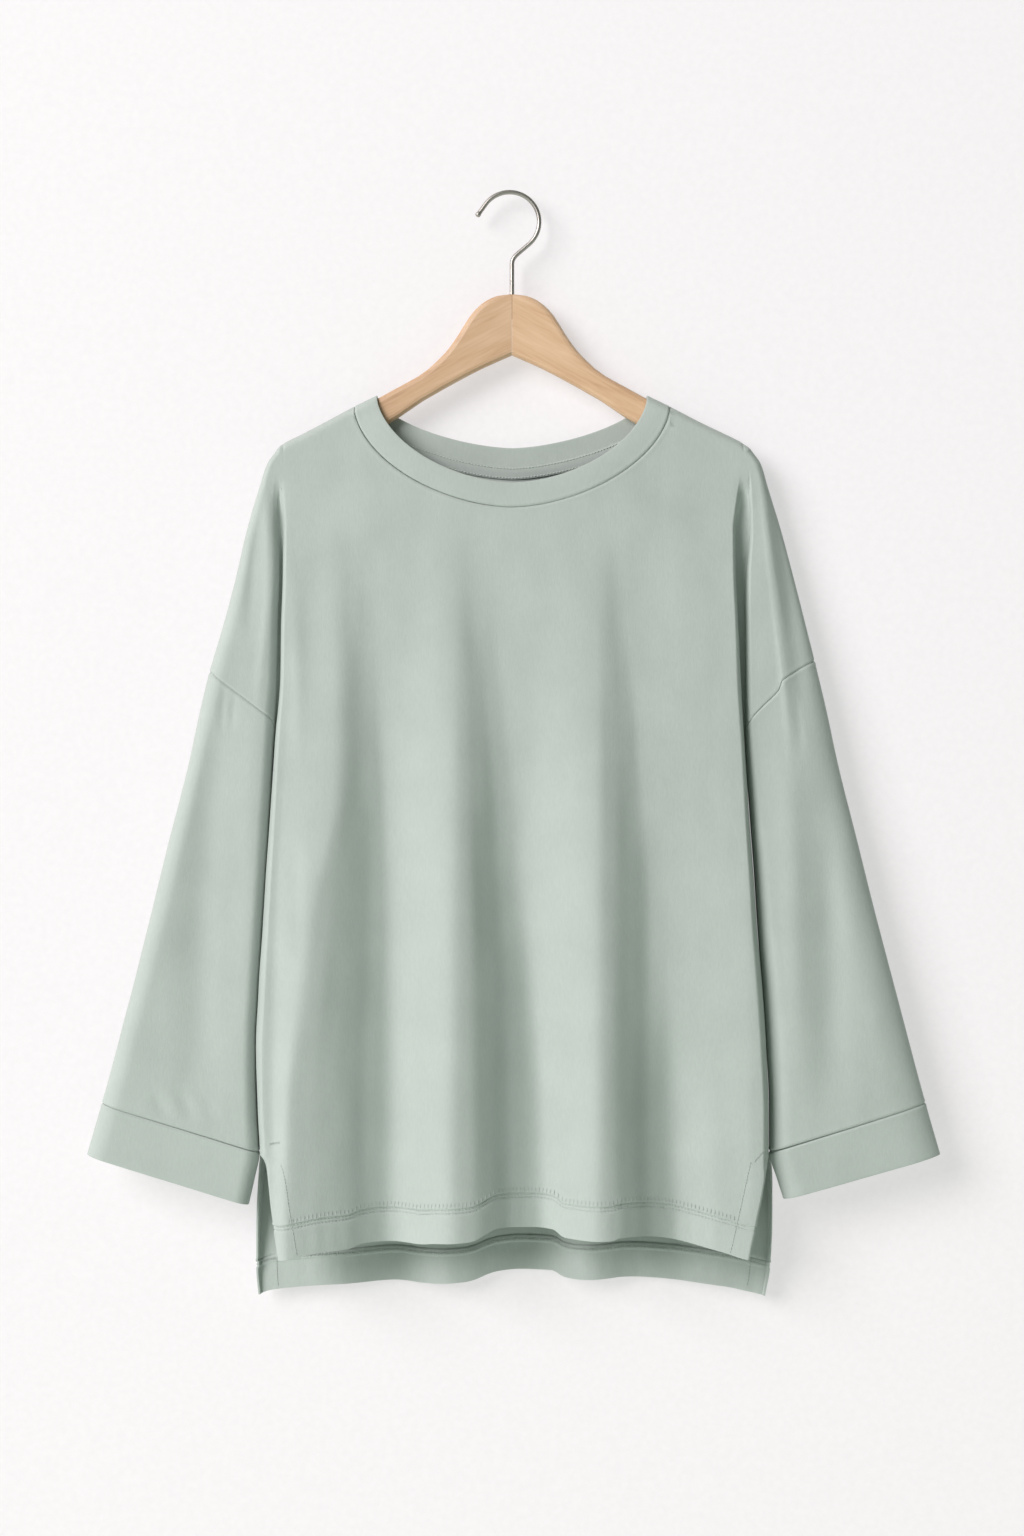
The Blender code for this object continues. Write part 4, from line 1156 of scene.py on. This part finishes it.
def skin_of(piece):
    """The finished piece as something that a line can be laid on."""
    shape = bmesh.new()
    shape.from_mesh(piece.data)
    tree = BVHTree.FromBMesh(shape)
    shape.free()
    return tree


def on_skin(tree, x, z, facing):
    """The place and the outward direction on a skin at a distance from the middle and a height."""
    start = Vector((x + STEM_X, facing * RAY_START, z)) * MM
    where, normal, _, _ = tree.ray_cast(start, Vector((0, -facing, 0)))
    return where, normal


def stitch(shape, start, end, normal, radius):
    """One thread stitch: a short rounded grain that lies half sunk in the cloth."""
    way = end - start
    side = normal.cross(way).normalized()
    rings = []
    for share, size in STITCH_SHAPE:
        rise = STITCH_FOOT + STITCH_RISE * math.sin(math.pi * share)
        centre = start + way * share + normal * radius * rise
        ring = []
        for turn in STITCH_CORNERS:
            angle = math.radians(turn)
            offset = (side * math.cos(angle) + normal * math.sin(angle)) * radius * size
            ring.append(shape.verts.new(centre + offset))
        rings.append(ring)
    for before, after in zip(rings, rings[1:]):
        for i in range(len(STITCH_CORNERS)):
            j = (i + 1) % len(STITCH_CORNERS)
            shape.faces.new((before[i], before[j], after[j], after[i]))
    shape.faces.new(rings[0][::-1])
    shape.faces.new(rings[-1])


def stitches_along(
    shape, tree, path, facing, pitch=STITCH_PITCH, length=STITCH_LENGTH, radius=STITCH_RADIUS
):
    """A row of stitches along a path of (x, z) places on a skin."""
    points = [Vector(point) for point in path]
    done, next_at = 0.0, FIRST_STITCH
    for start, end in zip(points, points[1:]):
        reach = (end - start).length
        while next_at + length < done + reach:
            way = (end - start) / reach
            first = start + way * (next_at - done)
            last = start + way * (next_at - done + length)
            a, normal = on_skin(tree, first.x, first.y, facing)
            b, _ = on_skin(tree, last.x, last.y, facing)
            if a and b:
                stitch(shape, a, b, normal, radius * MM)
            next_at += pitch
        done += reach


def stitched(name, rows):
    """All the stitches of one piece as a mesh of their own. Each row says what it lies on and where."""
    shape = bmesh.new()
    for row in rows:
        stitches_along(shape, **row)
    bmesh.ops.recalc_face_normals(shape, faces=shape.faces)
    mesh = bpy.data.meshes.new(name)
    shape.to_mesh(mesh)
    shape.free()
    mesh.shade_smooth()
    return add(name, mesh)


def hem_path(panel, up, step=STITCH_PITCH):
    heights = {side: panel.hem.height(sign * HEM_SIDE) + up for side, sign in SIGN.items()}
    reach = min(panel.edge(side, z)[0] for side, z in heights.items()) - HEM_END
    places = [mix(-reach, reach, share) for share in steps(round(2 * reach / step))]
    return [(x, panel.hem.height(x) + up) for x in places]


def facing_path(panel, side):
    top = SLIT_TOP - FACING_TOP
    bottom = panel.hem.height(SIGN[side] * FACING_SIDE) + FACING_FOOT
    heights = [mix(top, bottom, share) for share in steps(FACING_STEPS)]
    return [(SIGN[side] * (panel.edge(side, z)[0] - FACING_ROW_IN), z) for z in heights]


def cover_path(panel):
    """The thread that crosses from row to row on the inside of the hem."""
    return [(x, z + HEM_ROWS_UP[index % 2]) for index, (x, z) in enumerate(hem_path(panel, 0, COVER_STEP))]


def panel_stitches(name, piece, panel):
    """The hem's two rows, the slits' rows and bar tacks, and what shows of them on the inside."""
    tree = skin_of(piece)
    outside, inside = {"tree": tree, "facing": panel.facing}, {"tree": tree, "facing": -panel.facing}
    rows = [{**outside, "path": hem_path(panel, up)} for up in HEM_ROWS_UP]
    rows.append({**inside, **COVER_STITCHES, "path": cover_path(panel)})
    for (foot_up, head_up), face in ((OUTER_LOOPS, outside), (INNER_LOOPS, inside)):
        # Each loop is one stitch, as its pitch is longer than its path
        loop = {**face, "pitch": 20, "length": head_up - foot_up - 1, "radius": LOOP_RADIUS}
        for x, z in hem_path(panel, 0, LOOP_STEP)[2:-2]:
            rows.append({**loop, "path": [(x, z + foot_up), (x + LOOP_LEAN, z + head_up)]})
    for side, sign in SIGN.items():
        for face in (outside, inside):
            rows.append({**face, "path": facing_path(panel, side)})
        for lane in TACK_LANES:
            path = [(sign * x, z - lane) for x, z in TACKS[side]]
            rows.append({**outside, **TACK_STITCHES, "path": path})
    return stitched(name, rows)


def from_curve(name, points, **settings):
    """A mesh made from a line of (x, y, z) points, each with its share of the wire's thickness."""
    data = bpy.data.curves.new(name, "CURVE")
    for setting, value in settings.items():
        setattr(data, setting, value)
    spline = data.splines.new("POLY")
    spline.points.add(len(points) - 1)
    for point, (x, y, z, share) in zip(spline.points, points):
        point.co = (x * MM, y * MM, z * MM, 1)
        point.radius = share
    spline.use_cyclic_u = data.dimensions == "2D"
    piece = add(name, data)
    bpy.ops.object.select_all(action="DESELECT")
    piece.select_set(True)
    bpy.context.view_layer.objects.active = piece
    bpy.ops.object.convert(target="MESH")
    return piece


def make_hook():
    """The steel wire: a rounded tip, round the rail, back under the crown and down into the wood."""
    centre = -(HOOK_RADIUS - WIRE_RADIUS)
    start = math.radians(HOOK_TIP_ANGLE)
    first = Vector((HOOK_RADIUS * math.cos(start), centre + HOOK_RADIUS * math.sin(start)))
    tip = Vector(HOOK_TIP)
    route = []
    for reach, share in HOOK_TIP_SHAPE:
        route.append((*(tip + (first - tip).normalized() * reach), share))
    for share in steps(HOOK_STEPS):
        turn = math.radians(mix(HOOK_TIP_ANGLE, HOOK_BEND_ANGLE, share))
        route.append((HOOK_RADIUS * math.cos(turn), centre + HOOK_RADIUS * math.sin(turn), 1.0))
    neck = (route[-1][:2], *HOOK_NECK)
    bend = Curve([z for _, z in neck], [x for x, _ in neck])
    for share in steps(HOOK_NECK_STEPS)[1:]:
        z = mix(HOOK_NECK_TOP, HOOK_NECK[-1][1], share)
        route.append((bend(z), z, 1.0))
    route.append((STEM_X, STEM_END, 1.0))
    wire = from_curve(
        "hook_wire",
        [(x, 0, z, share) for x, z, share in route],
        dimensions="3D",
        bevel_depth=WIRE_RADIUS * MM,
        bevel_resolution=6,
        use_fill_caps=True,
    )
    wire.data.shade_smooth()
    return wire


def glue_outline():
    """Half of the joint's face between the arms, from the wire's hole round to the middle of its foot."""
    outline = [(GLUE_HOLE, STEM_END - GLUE_HOLE_FOOT), (GLUE_HOLE, GLUE_TOP - GLUE_HOLE_TOP)]
    quarter = [math.radians(turn) for turn in range(0, 91, 15)]
    for angle in quarter[::-1]:
        across = GLUE_HALF - GLUE_ROUND * (1 - math.cos(angle))
        if across > GLUE_HOLE + GLUE_HOLE_SIDE:
            outline.append((across, GLUE_TOP - GLUE_ROUND * (1 - math.sin(angle))))
    for angle in quarter:
        across = GLUE_HALF - GLUE_ROUND * (1 - math.cos(angle))
        outline.append((across, GLUE_FOOT + GLUE_ROUND * (1 - math.sin(angle))))
    return outline


def make_glue_line():
    """The thin sheet of glue in the joint between the two arms, with the hole for the wire's stem."""
    half = glue_outline()
    outline = half + [(-across, z) for across, z in reversed(half)]
    points = [(across, z, 0, 1.0) for across, z in outline]
    thickness = GLUE_HALF_THICKNESS * MM
    glue = from_curve("glue_line", points, dimensions="2D", fill_mode="BOTH", extrude=thickness)
    glue.rotation_euler = (math.pi / 2, 0, math.pi / 2)
    glue.location = (STEM_X * MM, 0, 0)
    bpy.ops.object.transform_apply(location=True, rotation=True, scale=True)
    return glue


# Looks


class Sum:
    """A socket of a material on which sums can be written."""

    def __init__(self, socket):
        self.socket = socket
        self.tree = socket.id_data

    def apply(self, operation, first, second):
        node = self.tree.nodes.new("ShaderNodeMath")
        node.operation = operation
        for entry, value in zip(node.inputs, (first, second)):
            if isinstance(value, Sum):
                self.tree.links.new(value.socket, entry)
            else:
                entry.default_value = value
        return Sum(node.outputs[0])

    def __add__(self, other):
        return self.apply("ADD", self, other)

    def __mul__(self, other):
        return self.apply("MULTIPLY", self, other)

    __radd__ = __add__
    __rmul__ = __mul__


class Finish:
    """A material and its nodes."""

    def __init__(self, name, **sockets):
        self.material = bpy.data.materials.new(name)
        self.material.use_nodes = True
        self.tree = self.material.node_tree
        self.shader = self.tree.nodes["Principled BSDF"]
        self.set(self.shader, sockets)
        self.where = self.node("TexCoord", "Object")

    def set(self, node, sockets):
        for name, value in sockets.items():
            entry = node.inputs[name.replace("_", " ")]
            if isinstance(value, Sum):
                self.tree.links.new(value.socket, entry)
            else:
                entry.default_value = value

    def node(self, kind, output=0, settings=(), **sockets):
        node = self.tree.nodes.new("ShaderNode" + kind)
        for name, value in dict(settings).items():
            setattr(node, name, value)
        self.set(node, sockets)
        return Sum(node.outputs[output])

    def ramp(self, value, *stops):
        node = self.tree.nodes.new("ShaderNodeValToRGB")
        elements = node.color_ramp.elements
        while len(elements) < len(stops):
            elements.new(0.5)
        for element, (position, colour) in zip(elements, stops):
            element.position = position
            element.color = (*colour, 1)
        self.tree.links.new(value.socket, node.inputs["Fac"])
        return Sum(node.outputs["Color"])

    def noise(self, where, scale, detail, **sockets):
        return self.node("TexNoise", "Fac", Vector=where, Scale=scale, Detail=detail, **sockets)

    def turned(self, angle, scale=(1, 1, 1)):
        """Places turned about the view's axis and then stretched."""
        return self.node("Mapping", Vector=self.where, Rotation=(0, angle, 0), Scale=scale)

    def output(self, height, strength, distance, **sockets):
        bump = self.node("Bump", "Normal", Height=height, Strength=strength, Distance=distance)
        self.set(self.shader, {"Normal": bump, **sockets})


def scaled(colour, share):
    return tuple(min(value * share, 1.0) for value in colour)


def jersey(name, colour, turn=0.0, bump=0.0004):
    """Cotton jersey: fine upright wales, short loose fibres and a slightly uneven dye."""
    finish = Finish(name, Roughness=0.88, Sheen_Weight=0.25, Sheen_Roughness=0.45, Specular_IOR_Level=0.25)
    finish.shader.inputs["Sheen Tint"].default_value = (*scaled(colour, 1.5), 1)
    grain = finish.turned(turn)
    bands = {"wave_type": "BANDS", "bands_direction": "X"}
    wales = finish.node("TexWave", "Fac", bands, Vector=grain, Scale=420, Distortion=1.2)
    fibres = finish.noise(finish.turned(turn + math.radians(38), (1, 1, 0.28)), 640, 3)
    fuzz = finish.noise(grain, 1500, 2)
    patches = finish.noise(grain, 24, 4)
    dye = fibres * 0.42 + patches * 0.4 + fuzz * 0.18
    shade = finish.ramp(dye, (0.3, scaled(colour, 0.93)), (0.7, scaled(colour, 1.06)))
    height = wales * 0.25 + fibres * 0.9 + fuzz * 0.3
    finish.output(height, 0.35, bump, Base_Color=shade, Roughness=0.82 + fibres * 0.12)
    return finish.material


def thread(name, colour):
    """Sewing thread: two plies with a light sheen."""
    finish = Finish(name, Sheen_Weight=0.2)
    plies = finish.noise(finish.where, 2400, 2)
    shade = finish.ramp(plies, (0.35, scaled(colour, 0.88)), (0.65, scaled(colour, 1.08)))
    finish.output(plies, 0.4, 0.0001, Base_Color=shade, Roughness=0.6 + plies * 0.1)
    return finish.material


def beech(name, turn, painted_light_gain):
    """Pale beech under satin varnish, with its grain along the arm. A gain scales its colours: below one it
    paints shade, above one it paints light.
    """
    finish = Finish(name, Coat_Roughness=0.35, Specular_IOR_Level=0.4)
    along = finish.turned(turn)
    drawn = finish.node("Mapping", Vector=along, Scale=(0.06, 1, 1))
    figure = finish.node("Mapping", Vector=along, Scale=(0.16, 1, 1))
    bend = finish.noise(along, 9, 2)
    years = finish.noise(figure, 85, 3, Distortion=0.6)
    lines = finish.noise(drawn, 520, 4)
    flecks = finish.noise(drawn, 1500, 2)
    tone = years * 0.5 + lines * 0.3 + flecks * 0.1 + bend * 0.1
    dark, middle, light = [scaled(colour, painted_light_gain) for colour in BEECH]
    shade = finish.ramp(tone, (0.34, dark), (0.46, middle), (0.62, light))
    height = lines * 0.6 + flecks * 0.4
    rough = 0.42 + lines * 0.12
    finish.output(height, 0.25, 0.00012, Base_Color=shade, Roughness=rough, Coat_Weight=0.22)
    return finish.material


def satin_steel(name):
    """Nickel-plated steel wire with faint drawing marks."""
    finish = Finish(name, Metallic=1.0)
    marks = finish.noise(finish.where, 900, 3)
    cloud = finish.noise(finish.where, 60, 2)
    shade = finish.ramp(cloud, (0.3, STEEL[0]), (0.7, STEEL[1]))
    finish.output(marks, 0.2, 0.00005, Base_Color=shade, Roughness=0.36 + marks * 0.12)
    return finish.material


def plaster(name, colour, glow):
    """The backdrop, lit evenly from inside. From behind it is clear, so that the garment's back shows."""
    finish = Finish(name, Roughness=0.95, Specular_IOR_Level=0.1, Emission_Strength=glow)
    finish.shader.inputs["Emission Color"].default_value = (*colour, 1)
    grain = finish.noise(finish.where, 180, 4)
    shade = finish.ramp(grain, (0.3, scaled(colour, 0.43)), (0.7, scaled(colour, 0.46)))
    finish.set(finish.shader, {"Base_Color": shade})
    both = finish.tree.nodes.new("ShaderNodeMixShader")
    behind, clear = finish.node("NewGeometry", "Backfacing"), finish.node("BsdfTransparent", "BSDF")
    for entry, socket in zip(both.inputs, (behind.socket, finish.shader.outputs["BSDF"], clear.socket)):
        finish.tree.links.new(socket, entry)
    finish.tree.links.new(both.outputs[0], finish.tree.nodes["Material Output"].inputs["Surface"])
    return finish.material


def dress(piece, material, slot, *nodes):
    """Gives a finished piece its material and its place on the frame."""
    piece.data.materials.clear()
    piece.data.materials.append(material)
    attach(piece, "root")
    if nodes:
        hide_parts(*nodes)


SAGE = (0.458, 0.506, 0.475)
BEECH = ((0.53, 0.32, 0.185), (0.64, 0.415, 0.255), (0.715, 0.49, 0.32))
STEEL = ((0.36, 0.335, 0.31), (0.46, 0.435, 0.405))
sage = jersey("sage jersey", SAGE)
sage_sleeve = {
    side: jersey("sage jersey of the %s sleeve" % side, SAGE, sign * math.radians(14))
    for side, sign in SIGN.items()
}
sage_band = jersey("doubled sage jersey", SAGE, bump=0.00045)
sage_tape = jersey("sage tape", scaled(SAGE, 0.97))
sage_thread = thread("sage thread", scaled(SAGE, 1.02))
# The tape's thread is 1.3 times as light as the cloth. This is a painted highlight that makes its stitches
# show as light dots in the shade inside the neck.
tape_thread_with_painted_highlight = thread("sage thread lightened as painted highlight", scaled(SAGE, 1.3))

front = make_panel("front_cloth", FRONT)
thicken(front, TURNED_WALL, "turned")
back = make_panel("back_cloth", BACK)
thicken(back, TURNED_WALL, "turned")
front_stitches = panel_stitches("front_stitches", front, FRONT)
back_stitches = panel_stitches("back_stitches", back, BACK)
sleeves = {side: make_sleeve(side) for side in SIGN}
cuffs = {side: make_cuff(side) for side in SIGN}
neck_band = make_neck_band()
neck_tape = make_neck_tape()
for piece in sleeves.values():
    thicken(piece, WALL)
for piece in (*cuffs.values(), neck_band):
    thicken(piece, BAND_WALL)
thicken(neck_tape, TAPE_WALL)
tape_rows = {"tree": skin_of(neck_tape), "facing": -BACK.facing, **TAPE_STITCHES}
tape_stitches = stitched(
    "neck_tape_stitches", [{**tape_rows, "path": tape_line(offset)} for offset in (-TAPE_ROW, TAPE_ROW)]
)

dress(front, sage, "jersey", "front_panel")
dress(back, sage, "jersey", "back_panel")
dress(front_stitches, sage_thread, "jersey")
dress(back_stitches, sage_thread, "jersey")
for side in SIGN:
    dress(sleeves[side], sage_sleeve[side], "jersey", "sleeve_" + side)
for side in SIGN:
    dress(cuffs[side], sage_band, "doubled_jersey", "cuff_" + side)
dress(neck_band, sage_band, "doubled_jersey", "neck_band")
dress(neck_tape, sage_tape, "neck_tape", "neck_tape")
dress(tape_stitches, tape_thread_with_painted_highlight, "neck_tape")

# Each arm's beech is scaled by its own gain. Painted shade darkens the left arm, which faces the key light,
# and painted light brightens the right arm, so both arms read alike.
wood = {
    "left": beech("beech of the left arm with painted shade", math.radians(28), 0.94),
    "right": beech("beech of the right arm with painted light", math.radians(-28), 1.07),
}
for side in SIGN:
    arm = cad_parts["hanger_arm_" + side]
    for slot in arm.material_slots:
        slot.material = wood[side]
dress(make_hook(), satin_steel("satin steel"), "steel", "hanger_hook")
# The glue line takes the left arm's beech, with its painted shade.
dress(make_glue_line(), wood["left"], "beech")


# Stage, in metres. The backdrop leans a little: it is close to the hook and clear of the garment's back
BACKDROP_TOP, BACKDROP_FOOT, BACKDROP_HALF = 2.5, -1.9, 4
BACKDROP_AWAY, BACKDROP_LEAN = 0.0155, 0.0275
CAMERA_AWAY = 2.5
VIEW_MIDDLE = -0.5162
FRAME_HEIGHT = 1.3824
SENSOR = 36.0


def flat_sheet(name, low, high, material):
    """An upright or level rectangle between two edges, each given by its place along Y and its height."""
    half = BACKDROP_HALF
    mesh = bpy.data.meshes.new(name)
    mesh.from_pydata([(-half, *low), (half, *low), (half, *high), (-half, *high)], [], [(0, 1, 2, 3)])
    mesh.materials.append(material)
    add(name, mesh)


def soft_light(name, where, at, size, watts, colour=(1, 1, 1)):
    data = bpy.data.lights.new(name, "AREA")
    data.shape = "SQUARE"
    data.size = size
    data.energy = watts
    data.color = colour
    light = add(name, data)
    light.location = where
    light.rotation_euler = (Vector(at) - Vector(where)).to_track_quat("-Z", "Y").to_euler()


foot, head = [(BACKDROP_AWAY - BACKDROP_LEAN * z, z) for z in (BACKDROP_FOOT, BACKDROP_TOP)]
flat_sheet("wall", foot, head, plaster("pale wall", (0.882, 0.858, 0.868), 0.61))
flat_sheet("floor", (-BACKDROP_HALF, BACKDROP_FOOT), foot, plaster("pale floor", (0.76, 0.862, 0.77), 0.55))
soft_light("key", (-5.3, -5.3, 2.7), (0, 0, -0.5), 4.6, 785, (1.0, 0.957, 0.975))
soft_light("fill", (2.4, -3.8, -0.6), (0, 0, -0.55), 2.6, 6, (0.92, 1.0, 0.93))
soft_light("behind", (-2.3, 1.9, 0.5), (0, 0, -0.5), 1.4, 42)
world = bpy.data.worlds.new("studio")
world.use_nodes = True
background = world.node_tree.nodes["Background"]
background.inputs["Color"].default_value = (0.8, 1.0, 0.83, 1)
background.inputs["Strength"].default_value = 0.12
bpy.context.scene.world = world

camera_data = bpy.data.cameras.new("camera")
camera_data.sensor_width = SENSOR
camera_data.lens = SENSOR * CAMERA_AWAY / FRAME_HEIGHT
camera = add("camera", camera_data)
camera.location = (STEM_X * MM, -CAMERA_AWAY, VIEW_MIDDLE)
camera.rotation_euler = (math.pi / 2, 0, 0)
bpy.context.scene.camera = camera
bpy.context.scene.view_settings.view_transform = "Standard"
